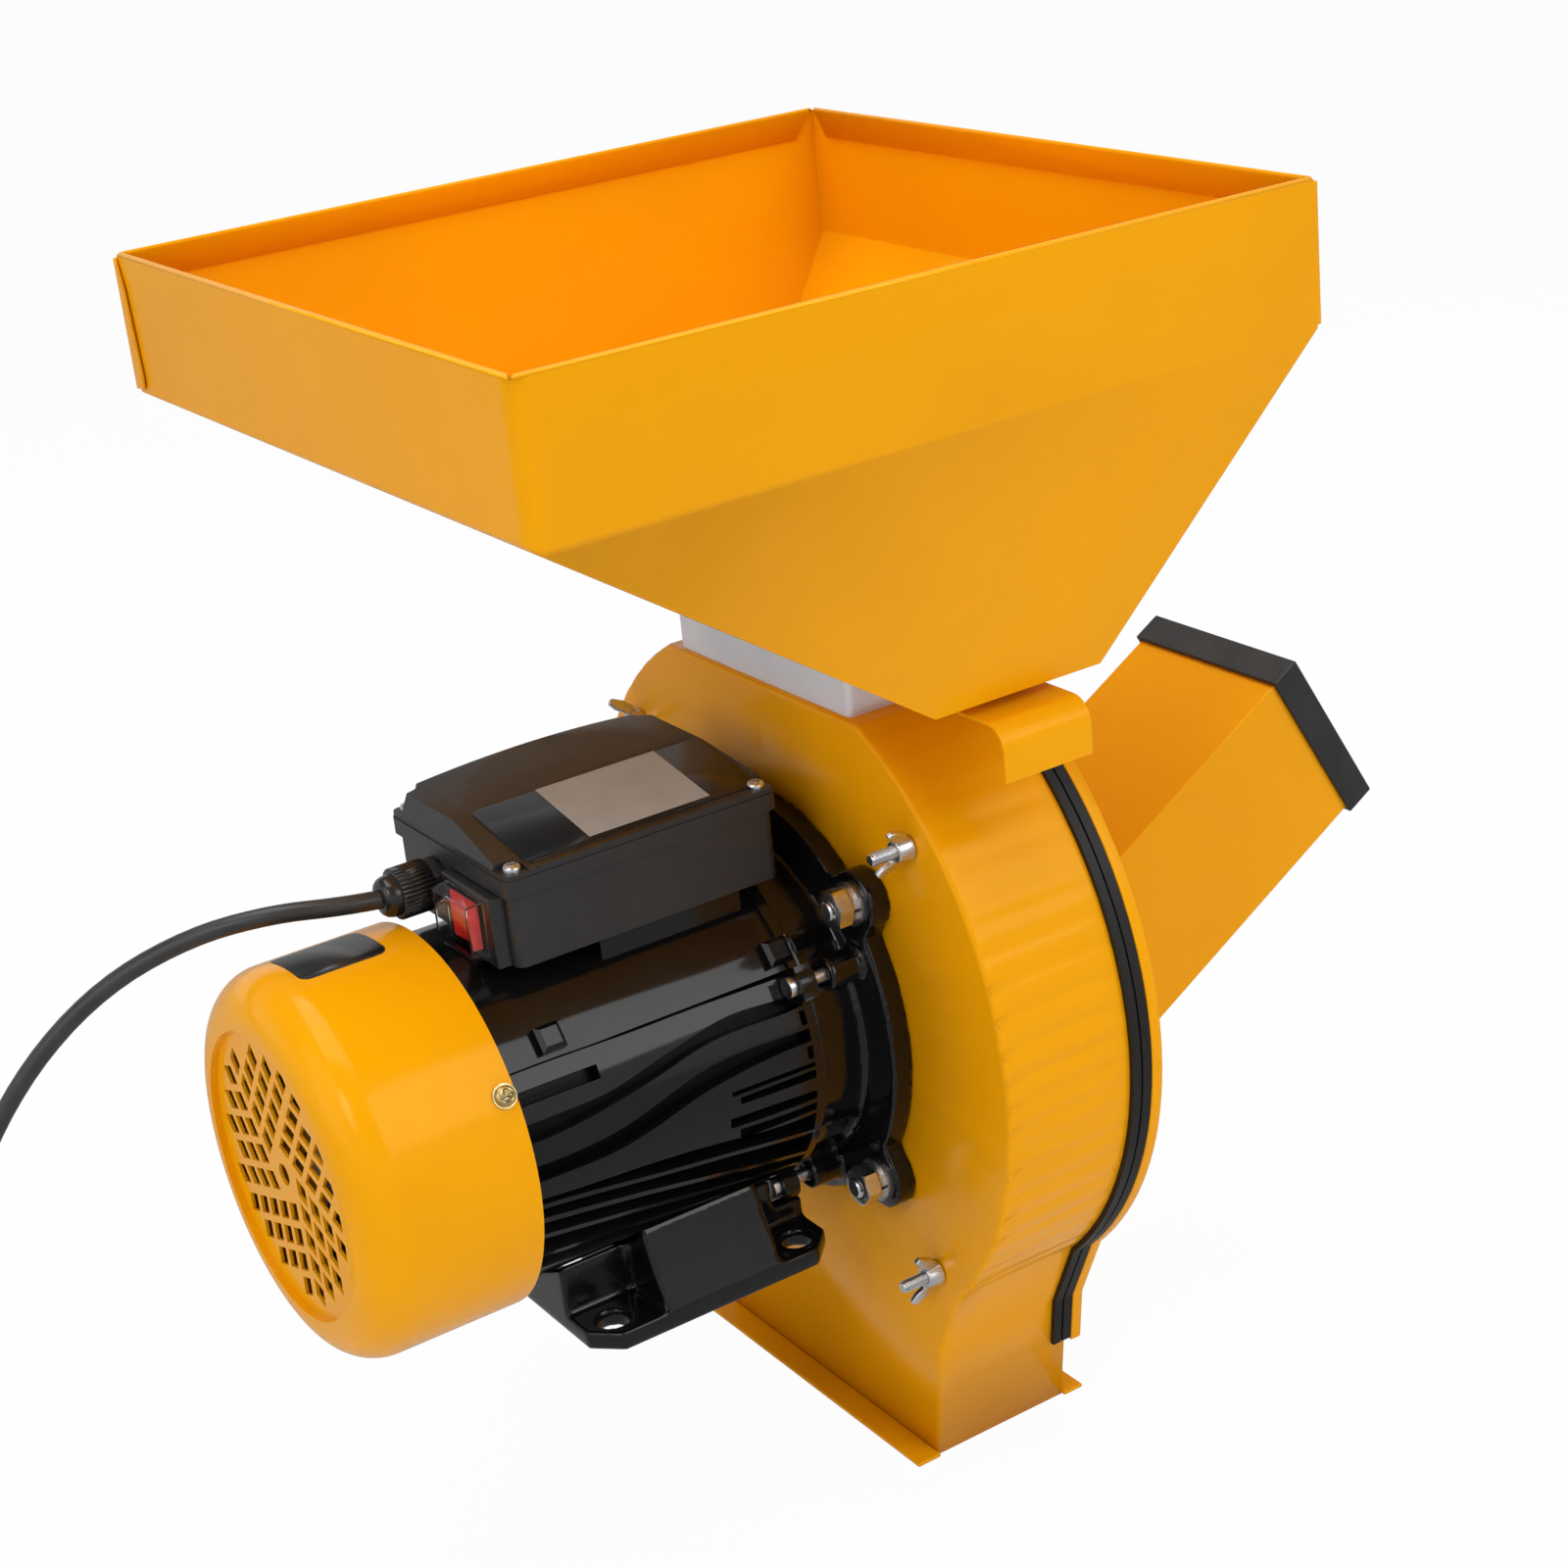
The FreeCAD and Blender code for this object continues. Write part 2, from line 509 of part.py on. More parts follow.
def strip(course):
    """Part of the layer outside the barrel, between the two angles that each point of a course gives."""
    mid = sum(up + low for y, up, low in course) / len(course) / 2
    edges = []
    for angles in ([(y, up) for y, up, low in course], [(y, low) for y, up, low in course]):
        places = [V(60, y, FIN_R * math.sin(math.radians(a - mid))) for y, a in angles]
        curve = Part.BSplineCurve()
        curve.interpolate(places)
        edges.append((curve.toShape(), places[0], places[-1]))
    ends = [Part.makeLine(edges[0][k], edges[1][k]) for k in (1, 2)]
    web = Part.Face(Part.Wire(Part.__sortEdges__([edges[0][0], ends[1], edges[1][0], ends[0]])))
    web = web.extrude(V(40, 0, 0))
    web.rotate(V(0, 0, 0), V(0, 1, 0), -mid)
    web.translate(V(0, 0, SHAFT_Z))
    return web.common(pipe(0, SHAFT_Z, FRAME_Y[0], FRAME_Y[1], FIN_R, FRAME_R - 3))


def fin(course):
    """A thin cooling fin that follows (y, angle) points along the barrel."""
    half = math.degrees(FIN_THICK / 2 / FIN_R)
    return strip([(y, a + half, a - half) for y, a in course])


def make_side_layer():
    """Raised side of the frame with its grooves, some of which snake, cut down to the barrel."""
    layer = strip(SIDE_LAYER)
    tool = pipe(0, SHAFT_Z, FRAME_Y[0], FRAME_Y[1], FIN_R + 2, FRAME_R)
    for course in SIDE_GROOVES:
        layer = layer.cut(strip(course).common(tool))
    return layer


def make_frame():
    """Cast motor frame: barrel with grooved sides, smooth upper half, saddle for the terminal box."""
    y0, y1 = FRAME_Y
    barrel = rod(0, SHAFT_Z, y0, y1, FRAME_R)
    far = 120.0
    ledge = SHAFT_Z + far * math.tan(math.radians(SMOOTH_ANGLE))
    wedge = prism([V(0, y0 + 10, SHAFT_Z), V(far, y0 + 10, ledge), V(far, y0 + 10, SHAFT_Z + far),
                   V(-far, y0 + 10, SHAFT_Z + far), V(-far, y0 + 10, ledge)], V(0, y1 - y0 - 13, 0))
    smooth = rod(0, SHAFT_Z, y0 + 10, y1 - 3, SMOOTH_R).common(wedge)
    saddle = box(-45, 45, -22, 51, SHAFT_Z + 60, BOX_Z[0])
    ring = pipe(0, SHAFT_Z, y1 - 4.4, y1, FIN_R, FRAME_R - 5)
    parts = [barrel, smooth, saddle, ring]
    for web in [make_side_layer()] + [fin(course) for course in SIDE_FINS]:
        parts += [web, mirrored(web, V(1, 0, 0))]
    for angle in LOWER_FINS:
        parts.append(fin([(-86, angle), (0, angle), (58, angle)]))
    for x, z in bracket_screw_places():
        parts.append(rod(x, z, y1 - 8, y1, BRACKET_BOSS_R))
    ear = box(BRACKET_SCREW_R - 12, BRACKET_SCREW_R + 6, y1 - 8, y1, -8, 8)
    ear.rotate(V(0, 0, 0), V(0, 1, 0), -BRACKET_SCREW_ANGLES[0])
    ear.translate(V(0, 0, SHAFT_Z))
    parts += [ear, mirrored(ear, V(1, 0, 0))]
    for y in LUG_Y:
        lug = box(FRAME_R, FRAME_R + 12, y - 6, y + 6, -6, 6)
        lug = lug.makeChamfer(2.0, [e for e in lug.Edges if e.CenterOfMass.x > FRAME_R + 11.9])
        lug.rotate(V(0, 0, 0), V(0, 1, 0), -LUG_ANGLE)
        lug.translate(V(0, 0, SHAFT_Z))
        parts += [lug, mirrored(lug, V(1, 0, 0))]
    for x, y in foot_screw_places():
        parts.append(upright(x, y, 0, 45, 8.0).common(rod(0, SHAFT_Z, y0, y1, FIN_R)))
    for x, z in cowl_screw_places(1.0):
        out = V(x, 0, z - SHAFT_Z)
        boss = Part.makeCylinder(6.0, COWL_R - 1.8 - 70, V(0, COWL_SCREW_Y, SHAFT_Z) + out * 70, out)
        parts.append(boss.common(box(-100, 100, y0, y0 + 20, 0, 220)))
    body = fuse(parts).cut(rod(0, SHAFT_Z, y0 - 5, y1 + 5, BORE_R))
    body = body.cut(box(-60, 60, y0 - 5, y1 + 5, BOX_Z[0], BOX_Z[0] + 20))
    for x, z in bracket_screw_places():
        body = body.cut(rod(x, z, y1 - 20, y1 + 1, 3.0)).cut(rod(x, z, y1 - 18, y1 - 8, 5.6))
    for x, y in foot_screw_places():
        body = body.cut(upright(x, y, 0, 34, 4.0))
    for x, z in cowl_screw_places(1.0):
        out = V(x, 0, z - SHAFT_Z)
        body = body.cut(Part.makeCylinder(2.5, 20, V(0, COWL_SCREW_Y, SHAFT_Z) + out * 77.5, out))
    return body


def bracket_screw_places():
    """Places of the four screws between frame and bracket."""
    turns = [math.radians(a) for a in BRACKET_SCREW_ANGLES]
    return [(side * BRACKET_SCREW_R * math.cos(a), SHAFT_Z + BRACKET_SCREW_R * math.sin(a))
            for a in turns for side in (1, -1)]


def make_bracket():
    """Cast end bracket: carries the front bearing and bolts to the housing through four lugs."""
    y, y0, neck = BACK_Y, FRAME_Y[1], BRACKET_NECK_R
    rear = y - BRACKET_THICK
    spigot = BACK_BORE_R - 0.1
    pocket, bearing_back, web = 70.0, 84.0, 80.0
    body = turned([(y0, 74), (y0, neck), (rear, neck), (rear, BRACKET_R), (y, BRACKET_R), (y, spigot),
                   (y + SHEET, spigot), (y + SHEET, 12), (bearing_back, 12), (bearing_back, BEAR_OUT),
                   (pocket, BEAR_OUT), (pocket, 30), (web, 30), (web, 74)])
    parts = [body]
    for x, z in four(*FLANGE_BOLTS):
        inward = V(-x, 0, -z)
        inward.normalize()
        side = V(inward.z, 0, -inward.x) * 15.0
        c = V(x, rear, SHAFT_Z + z)
        root = prism([c + side, c - side, c - side * 1.5 + inward * 25, c + side * 1.5 + inward * 25],
                     V(0, BRACKET_THICK, 0))
        parts += [rod(x, SHAFT_Z + z, rear, y, 15.0), root.cut(rod(0, SHAFT_Z, y - 20, y + 5, neck - 2))]
    parts += [rod(x, z, pocket, rear, BRACKET_BOSS_R) for x, z in bracket_screw_places()]
    body = fuse(parts)
    for x, z in four(*FLANGE_BOLTS):
        body = body.cut(rod(x, SHAFT_Z + z, y - 20, y + 5, FLANGE_BOLT_R))
    for x, z in bracket_screw_places():
        body = body.cut(rod(x, z, 60, y - 17, 3.0))
    return body


def make_bracket_screws():
    """Four screws through the frame's ears into the bracket's bosses."""
    y1 = FRAME_Y[1]
    return Part.makeCompound([fuse([rod(x, z, y1 - 8, BACK_Y - 17, 3.0), rod(x, z, y1 - 12, y1 - 8, 5.0)])
                              for x, z in bracket_screw_places()])


def make_rear_shield():
    """Rear end shield with the pocket for the rear bearing."""
    y0 = FRAME_Y[0]
    cap = y0 - 19
    return turned([(y0, 78), (y0 - 6, 78), (y0 - 6, 30), (cap, 30), (cap, 14), (cap + 2, 14),
                   (cap + 2, BEAR_OUT), (y0, BEAR_OUT)])


def make_foot():
    """Cast foot: two drilled side bars, upright webs and a middle block under the frame."""
    x0, x1 = FOOT_X
    parts = []
    for side in (1, -1):
        bar = box(x0, x1, -FOOT_Y, FOOT_Y, 0, FOOT_THICK)
        outer_corners = [e for e in bar.Edges if e.CenterOfMass.x > x1 - 0.1 and e.BoundBox.ZLength > 8]
        bar = bar.makeChamfer(12.0, outer_corners)
        web = box(x0, x0 + 7, -FOOT_Y, FOOT_Y, 0, 70)
        block = prism([V(0, -29, 0), V(x1, -29, 0), V(x1, -29, FOOT_THICK), V(60, -29, 46), V(0, -29, 60)],
                      V(0, 62, 0))
        half = [bar, web, block]
        parts += half if side > 0 else [mirrored(s, V(1, 0, 0)) for s in half]
    for y in (-FOOT_Y, FOOT_Y - 8):
        parts.append(box(-45, 45, y, y + 8, 0, 40))
    body = fuse(parts).cut(rod(0, SHAFT_Z, -80, 80, FIN_R))
    for x, y in four(*FOOT_HOLES):
        body = body.cut(upright(x, y, -5, 20, FOOT_HOLE_R))
    for x, y in foot_screw_places():
        body = body.cut(upright(x, y, -5, 40, 4.0)).cut(upright(x, y, -5, 8, 7.0))
    for x, z in bracket_screw_places():
        body = body.cut(rod(x, z, FRAME_Y[1] - 13, FRAME_Y[1] + 5, BRACKET_BOSS_R + 1.5))
    return body


def foot_screw_places():
    """Places of the four screws between foot and frame."""
    return [(x, y + 2) for x, y in four(20, 20)]


def make_foot_screws():
    """Four socket screws from under the foot into the frame."""
    return Part.makeCompound([fuse([upright(x, y, 8, 34, 4.0), upright(x, y, 1, 8, 6.5)])
                              for x, y in foot_screw_places()])


def cowl_form(inset):
    """The cowl's outside, or with an inset its inside, as a solid of revolution."""
    y0, y1 = COWL_Y[0] + inset, COWL_Y[1]
    r, shoulder = COWL_R - inset, COWL_SHOULDER - inset
    c = V(r - shoulder, y0 + shoulder, 0)
    edges = [Part.LineSegment(V(0, y1, 0), V(r, y1, 0)),
             Part.LineSegment(V(r, y1, 0), V(r, c.y, 0)),
             Part.Arc(V(r, c.y, 0), c + V(1, -1, 0) * shoulder * HALF_ROOT, V(c.x, y0, 0)),
             Part.LineSegment(V(c.x, y0, 0), V(0, y0, 0)),
             Part.LineSegment(V(0, y0, 0), V(0, y1, 0))]
    return Part.Face(Part.Wire([e.toShape() for e in edges])).revolve(V(0, 0, 0), V(0, 1, 0), 360)


def make_cowl():
    """Pressed fan cowl: round skirt, rounded shoulder and a recessed, punched end face."""
    y0, t = COWL_Y[0], COWL_SHEET
    pan = y0 + RECESS_DEEP
    body = cowl_form(0).cut(cowl_form(t)).cut(rod(0, 0, y0 - 1, pan, RECESS_R))
    body = body.fuse(pipe(0, 0, y0 + t, pan + t, RECESS_R + t, RECESS_R))
    body = body.fuse(rod(0, 0, pan, pan + t, RECESS_R)).removeSplitter()
    body.translate(V(0, 0, SHAFT_Z))
    for x, z in cowl_screw_places(1.0):
        out = V(x, 0, z - SHAFT_Z)
        hole = Part.makeCylinder(2.6, 20, V(0, COWL_SCREW_Y, SHAFT_Z) + out * (COWL_R - 10), out)
        body = body.cut(hole)
    return body.cut(Part.makeCompound(grille_holes(y0)))


def grille_holes(y):
    """Slanted cells in five fields round the middle hole, along the spokes that part the fields."""
    step = 2 * math.pi / GRILLE_FIELDS
    along_0, beside_0 = -SPOKE_OFF + SPOKE_WIDE / 2, SPOKE_OFF + SPOKE_WIDE / 2
    holes = [rod(0, SHAFT_Z, y - 5, y + 15, HUB_HOLE_R)]
    for field in range(GRILLE_FIELDS):
        turn = -math.pi / 2 + step * field
        spoke = V(math.cos(turn), 0, math.sin(turn)) * (1 / math.sin(step))
        other = V(math.cos(turn + step), 0, math.sin(turn + step)) * (1 / math.sin(step))
        for i, count in enumerate(CELLS):
            for j in range(count):
                b, a = beside_0 + i * GRILLE_PITCH, along_0 + j * GRILLE_PITCH
                corners = [spoke * p + other * q + V(0, y - 5, SHAFT_Z)
                           for p, q in ((a, b), (a + CELL, b), (a + CELL, b + CELL), (a, b + CELL))]
                holes.append(prism(corners, V(0, 20, 0)))
    return holes


def cowl_screw_places(r):
    """Places of the three cowl screws on a circle of radius r about the shaft."""
    angles = [math.radians(a) for a in COWL_SCREW_ANGLES]
    return [(r * math.cos(a), SHAFT_Z + r * math.sin(a)) for a in angles]


def make_cowl_screws():
    """Washer-head screws that hold the cowl to the rear end of the frame."""
    start = 77.5
    screws = []
    for x, z in cowl_screw_places(1.0):
        out = V(x, 0, z - SHAFT_Z)
        foot = V(0, COWL_SCREW_Y, SHAFT_Z)
        head = Part.makeCylinder(4.6, 2.6, foot + out * (COWL_R + 0.8), out)
        washer = Part.makeCylinder(5.6, 0.9, foot + out * COWL_R, out)
        stem = Part.makeCylinder(2.5, COWL_R - start, foot + out * start, out)
        screws.append(fuse([stem, washer, head]))
    return Part.makeCompound(screws)


def soft_block(x0, x1, y0, y1, z0, z1, radius):
    """Block with rounded upright corners."""
    body = box(x0, x1, y0, y1, z0, z1)
    return body.makeFillet(radius, [e for e in body.Edges if abs(e.BoundBox.ZLength - (z1 - z0)) < 0.01])


def make_terminal_box():
    """Plastic box under the lid, open at the top, with a rim band and holes for the gland and the switch."""
    (x0, x1), (y0, y1), (z0, z1) = BOX_X, BOX_Y, BOX_Z
    out, t = BAND_OUT, BOX_WALL
    inside = box(x0 + out + t, x1 - out - t, y0 + out + t, y1 - out - t, z0 + t, z1 + 5)
    walls = soft_block(x0 + out, x1 - out, y0 + out, y1 - out, z0, z1, 5.0)
    posts = [upright(x, y, z0, z1, 4.5).common(walls) for x, y in LID_SCREWS]
    body = fuse([walls, soft_block(x0, x1, y0, y1, BAND_Z, z1, 5.0)]).cut(inside)
    body = fuse([body] + posts).cut(rod(GLAND[0], GLAND[1], y0 - 5, y0 + 10, GLAND_SLEEVE_R))
    x, z = SWITCH
    body = body.cut(box(x - 15, x + 15, y0 - 5, y0 + 10, z - 13, z + 13))
    for x, y in LID_SCREWS:
        body = body.cut(upright(x, y, z1 - 12, z1 + 5, 1.8))
    return body.cut(upright(0, 20, z0 - 5, z0 + 5, 9.0))


def lid_form(inset, low):
    """The lid's outside, or with an inset its inside: steep ends, crowned far part and sloped near part."""
    (x0, x1), (y0, y1) = BOX_X, BOX_Y
    far, near, edge = x0 + LID_IN + inset, x1 - LID_IN - inset, LID_Z - inset
    left, right = y0 + LID_IN + inset, y1 - LID_IN - inset
    section = [(far, low), (far, edge), (LID_FAR[0] + inset, LID_FAR[1] - inset),
               (LID_CREST_X, LID_TOP_Z - inset), (LID_SLOPE_END[0] - inset, LID_SLOPE_END[1] - inset),
               (near, edge), (near, low)]
    ends = [(left, low), (left, edge), (left + 7, edge + 15), (right - 7, edge + 15), (right, edge),
            (right, low)]
    body = prism([V(x, y0, z) for x, z in section], V(0, y1 - y0, 0))
    body = body.common(prism([V(x0, y, z) for y, z in ends], V(x1 - x0, 0, 0)))
    crown_z = LID_FAR[1] - inset - LID_CROWN_R
    crown = Part.makeCylinder(LID_CROWN_R, x1 - x0, V(x0, (y0 + y1) / 2, crown_z), V(1, 0, 0))
    return body.common(crown).common(soft_block(far, near, left, right, low, LID_FAR[1] + 5, 4.0))


def make_lid():
    """Box lid, with a notch open to the corner round each of its screws."""
    z1, over = BOX_Z[1], LID_FAR[1] + 5
    body = lid_form(0, z1).cut(lid_form(2.5, z1 - 5))
    posts = [upright(x, y, z1, over, 7.0).common(lid_form(0, z1)) for x, y in LID_SCREWS]
    body = fuse([body] + posts)
    for x, y in LID_SCREWS:
        far_x, far_y = x + math.copysign(20, x), y + math.copysign(20, y)
        r = 5.2
        notch = [upright(x, y, LID_SEAT_Z, over, r),
                 box(min(x, far_x), max(x, far_x), y - r, y + r, LID_SEAT_Z, over),
                 box(x - r, x + r, min(y, far_y), max(y, far_y), LID_SEAT_Z, over),
                 box(min(x, far_x), max(x, far_x), min(y, far_y), max(y, far_y), LID_SEAT_Z, over)]
        body = body.cut(fuse(notch)).cut(upright(x, y, z1 - 5, over, 2.0))
    return body


def make_lid_screws():
    """Four small pan-head screws down into the box's corner posts."""
    low, seat = BOX_Z[1] - 12, LID_SEAT_Z
    return Part.makeCompound([fuse([upright(x, y, low, seat, 1.8), upright(x, y, seat, seat + 2.8, 4.0)])
                              for x, y in LID_SCREWS])


def make_plate():
    """Blank metal rating plate on the lid's slope."""
    (x0, x1), (y0, y1) = PLATE_X, PLATE_Y
    drop = (LID_TOP_Z - LID_SLOPE_END[1]) / (LID_SLOPE_END[0] - LID_CREST_X)
    z0 = LID_TOP_Z - (x0 - LID_CREST_X) * drop
    z1 = z0 - (x1 - x0) * drop
    return prism([V(x0, y0, z0), V(x1, y0, z1), V(x1, y0, z1 + 0.5), V(x0, y0, z0 + 0.5)], V(0, y1 - y0, 0))


def make_capacitor():
    """Round run capacitor with two tabs, lying in the box."""
    x, z, r, y0, y1 = -22, 208, 18.0, -42, 48
    tabs = [box(x + k - 0.6, x + k + 0.6, y1, y1 + 8, z - 4, z + 2) for k in (-5.4, 5.4)]
    return fuse([rod(x, z, y0, y1, r)] + tabs)


def make_terminal_block():
    """Terminal block on the box floor, with a well for each of its four screws."""
    floor = BOX_Z[0] + BOX_WALL
    block = box(8, 36, 0, 46, floor, floor + 12.5)
    for k in range(4):
        block = block.cut(upright(22, 6 + 11.3 * k, floor + 6.5, floor + 17.5, 3.2))
    return block


def make_switch():
    """Switch frame with a deep well for the rocker and a hole for each of its pivots."""
    x, z = SWITCH
    face = BOX_FACE_Y
    front = face - BEZEL_THICK
    bezel = box(BEZEL_X[0], BEZEL_X[1], front, face, BEZEL_Z[0], BEZEL_Z[1])
    bezel = bezel.makeFillet(1.2, [e for e in bezel.Edges if abs(e.CenterOfMass.y - front) < 0.01])
    case = box(x - 15, x + 15, face, face + 24, z - 13, z + 13)
    well = box(x - WELL_X, x + WELL_X, front - 1, face + 14, z - WELL_Z, z + WELL_Z)
    pivots = upright(x, ROCKER_Y, z - PIVOT_REACH - 0.2, z + PIVOT_REACH + 0.2, PIVOT_R + RUN)
    blades = [box(x + k * 9 - 0.4, x + k * 9 + 0.4, face + 24, face + 31, z - 3, z + 3) for k in (-1, 0, 1)]
    return fuse([bezel, case] + blades).cut(well).cut(pivots)


def make_rocker():
    """Red rocker with a pivot pin at each end, shown with its right-hand side standing out."""
    x, z = SWITCH
    y, half = ROCKER_Y, WELL_Z - 0.4
    section = [(-11.4, -7.0), (0, -4.6), (11.4, -7.0), (11.4, 3.0), (3, 8.0), (-3, 8.0), (-11.4, 3.0)]
    body = prism([V(x + px, y + py, z - half) for px, py in section], V(0, 0, 2 * half))
    body = fuse([body, upright(x, y, z - PIVOT_REACH, z + PIVOT_REACH, PIVOT_R)])
    body.rotate(V(x, y, z), V(0, 0, 1), -ROCKER_TILT)
    return body


def make_switch_cover():
    """Clear soft hood over the rocker, open at the back."""
    x, z = SWITCH[0] - 0.5, SWITCH[1]
    back, wall = BOX_FACE_Y - BEZEL_THICK, 1.0

    def hood(inset, y_front):
        wires = []
        for half_x, half_z, y in ((17.4, 13.8, back), (15.8, 12.6, y_front)):
            hx, hz = half_x - inset, half_z - inset
            wires.append(Part.makePolygon([V(x - hx, y, z - hz), V(x + hx, y, z - hz), V(x + hx, y, z + hz),
                                           V(x - hx, y, z + hz), V(x - hx, y, z - hz)]))
        return Part.makeLoft(wires, True, True)
    return hood(0, back - HOOD_DEEP).cut(hood(wall, back - HOOD_DEEP + wall))


def make_gland():
    """Cable gland body: hexagon collar and the threaded sleeve through the box wall."""
    x, z = GLAND
    face = BOX_FACE_Y
    collar = hexagon(x, z, face - COLLAR_LONG, face, COLLAR_FLATS, 0.0, 30.0)
    body = fuse([collar, rod(x, z, face, face + 9, GLAND_SLEEVE_R)])
    return body.cut(rod(x, z, face - 30, face + 20, CORD_D / 2 + RUN))


def make_gland_nut():
    """Ribbed cap nut with a domed nose that grips the lead."""
    x, z = GLAND
    face, tip, r = BOX_FACE_Y - COLLAR_LONG, GLAND_TIP_Y, CORD_D / 2 + RUN
    dome = tip + 9
    body = turned([(face, r), (face, CAP_R), (dome, CAP_R), (tip + 5, 10.4), (tip + 1.5, 8.4), (tip, 6.8),
                   (tip, r)], x, z)
    ribs = []
    for k in range(24):
        a = math.radians(15 * k)
        ribs.append(rod(x + CAP_R * math.cos(a), z + CAP_R * math.sin(a), dome, face - 1, 0.6))
    return fuse([body] + ribs)


def make_locknut():
    """Nut that holds the gland from inside the box."""
    face = BOX_FACE_Y + BOX_WALL
    return hexagon(GLAND[0], GLAND[1], face, face + 5, 20.0, GLAND_SLEEVE_R)


def make_stator_core():
    """Stator iron, pressed into the frame's bore."""
    return pipe(0, SHAFT_Z, CORE_Y[0], CORE_Y[1], BORE_R, CORE_R + 0.6)


def make_windings():
    """End turns of the stator winding, one bundle at each end of the core."""
    y0, y1 = CORE_Y
    bundles = []
    for start, end in ((y0 - 22, y0), (y1, y1 + 20)):
        bundles.append(turned([(start, 48), (start, 56), (start + 4, 59.5), (end - 4, 59.5), (end, 57),
                               (end, 43), (end - 4, 43), (start + 4, 44)]))
    return Part.makeCompound(bundles)


def make_rotor_core():
    """Squirrel-cage rotor iron on the shaft."""
    return pipe(0, SHAFT_Z, CORE_Y[0], CORE_Y[1], CORE_R, CORE_SHAFT_R)


def bearing(y, outer, inner):
    """One race of a ball bearing, with the ball's groove in it."""
    ring = pipe(0, SHAFT_Z, y - BEAR_WIDE / 2, y + BEAR_WIDE / 2, outer, inner)
    return ring.cut(Part.makeTorus(BALL_RING_R, BALL_R + 0.1, V(0, y, SHAFT_Z), V(0, 1, 0)))


def make_bearing_outers():
    """Outer races, in the bracket and the rear shield."""
    return Part.makeCompound([bearing(y, BEAR_OUT, BALL_RING_R + 2.2) for y in (REAR_BEAR_Y, FRONT_BEAR_Y)])


def make_bearing_inners():
    """Inner races, on the shaft."""
    return Part.makeCompound([bearing(y, BALL_RING_R - 2.2, SHAFT_R) for y in (REAR_BEAR_Y, FRONT_BEAR_Y)])


def make_bearing_balls():
    """Balls of both bearings."""
    balls = []
    for y in (REAR_BEAR_Y, FRONT_BEAR_Y):
        for k in range(BALLS):
            a = 2 * math.pi * k / BALLS
            place = V(BALL_RING_R * math.cos(a), y, SHAFT_Z + BALL_RING_R * math.sin(a))
            balls.append(Part.makeSphere(BALL_R, place))
    return Part.makeCompound(balls)


def make_shaft():
    """One stepped shaft from the fan to the beaters."""
    rear, front, hub = REAR_BEAR_Y, FRONT_BEAR_Y, HUB_Y[1]
    return turned([(FAN_Y - 3, 0), (FAN_Y - 3, FAN_SEAT_R), (rear - 9, FAN_SEAT_R), (rear - 9, SHAFT_R),
                   (rear + 8, SHAFT_R), (rear + 8, CORE_SHAFT_R), (front - 9, CORE_SHAFT_R),
                   (front - 9, SHAFT_R), (hub, SHAFT_R), (hub, THREAD_R), (SHAFT_END_Y, THREAD_R),
                   (SHAFT_END_Y, 0)])


def make_fan():
    """Plastic cooling fan: a hub, a disc and seven straight blades."""
    y0, y1 = FAN_Y, FAN_Y + FAN_WIDE
    hub = pipe(0, SHAFT_Z, y0, y1, 15.0, FAN_SEAT_R)
    disc = pipe(0, SHAFT_Z, y1 - 6, y1 - 4, FAN_R, FAN_SEAT_R)
    blades = []
    for k in range(7):
        blade = box(14, FAN_R, y0, y1 - 5, -1.2, 1.2)
        blade.rotate(V(0, 0, 0), V(0, 1, 0), 360.0 * k / 7)
        blade.translate(V(0, 0, SHAFT_Z))
        blades.append(blade)
    return fuse([hub, disc] + blades)


def make_hub():
    """Flanged hub that the beater bars are clamped against."""
    y0, y1 = HUB_Y
    return turned([(y0, SHAFT_R), (y0, 17), (y1 - 5, 17), (y1 - 5, 24), (y1, 24), (y1, SHAFT_R)])


def make_beaters():
    """Three flat steel bars on the shaft, a sixth of a turn apart."""
    bars = []
    for k in range(3):
        y = HUB_Y[1] + k * (BAR_THICK + BAR_SPACE)
        bar = box(-BEATER_R, BEATER_R, y, y + BAR_THICK, -BAR_WIDE / 2, BAR_WIDE / 2)
        bar.rotate(V(0, 0, 0), V(0, 1, 0), BAR_TURN + 60 * k)
        bar.translate(V(0, 0, SHAFT_Z))
        bars.append(bar.cut(rod(0, SHAFT_Z, y - 1, y + BAR_THICK + 1, THREAD_R)))
    return Part.makeCompound(bars)


def make_spacers():
    """Rings between the beater bars."""
    starts = [HUB_Y[1] + BAR_THICK + k * (BAR_THICK + BAR_SPACE) for k in range(2)]
    return Part.makeCompound([pipe(0, SHAFT_Z, y, y + BAR_SPACE, STACK_R, THREAD_R) for y in starts])


def stack_end():
    """Where the stack of three bars and two spacers ends on the shaft."""
    return HUB_Y[1] + 3 * BAR_THICK + 2 * BAR_SPACE


def make_clamp_washer():
    """Thick washer over the stack."""
    return pipe(0, SHAFT_Z, stack_end(), stack_end() + 3, STACK_R, THREAD_R)


def make_shaft_nut():
    """Nut that clamps the stack."""
    return hexagon(0, SHAFT_Z, stack_end() + 3, stack_end() + 13, 19, THREAD_R)


def make_sieve_ring():
    """Low ring welded to the back plate, which locates the screen."""
    return pipe(0, SHAFT_Z, BACK_Y + SHEET, BACK_Y + SHEET + 8, SIEVE_R + 3.2, SIEVE_R + 1.2)


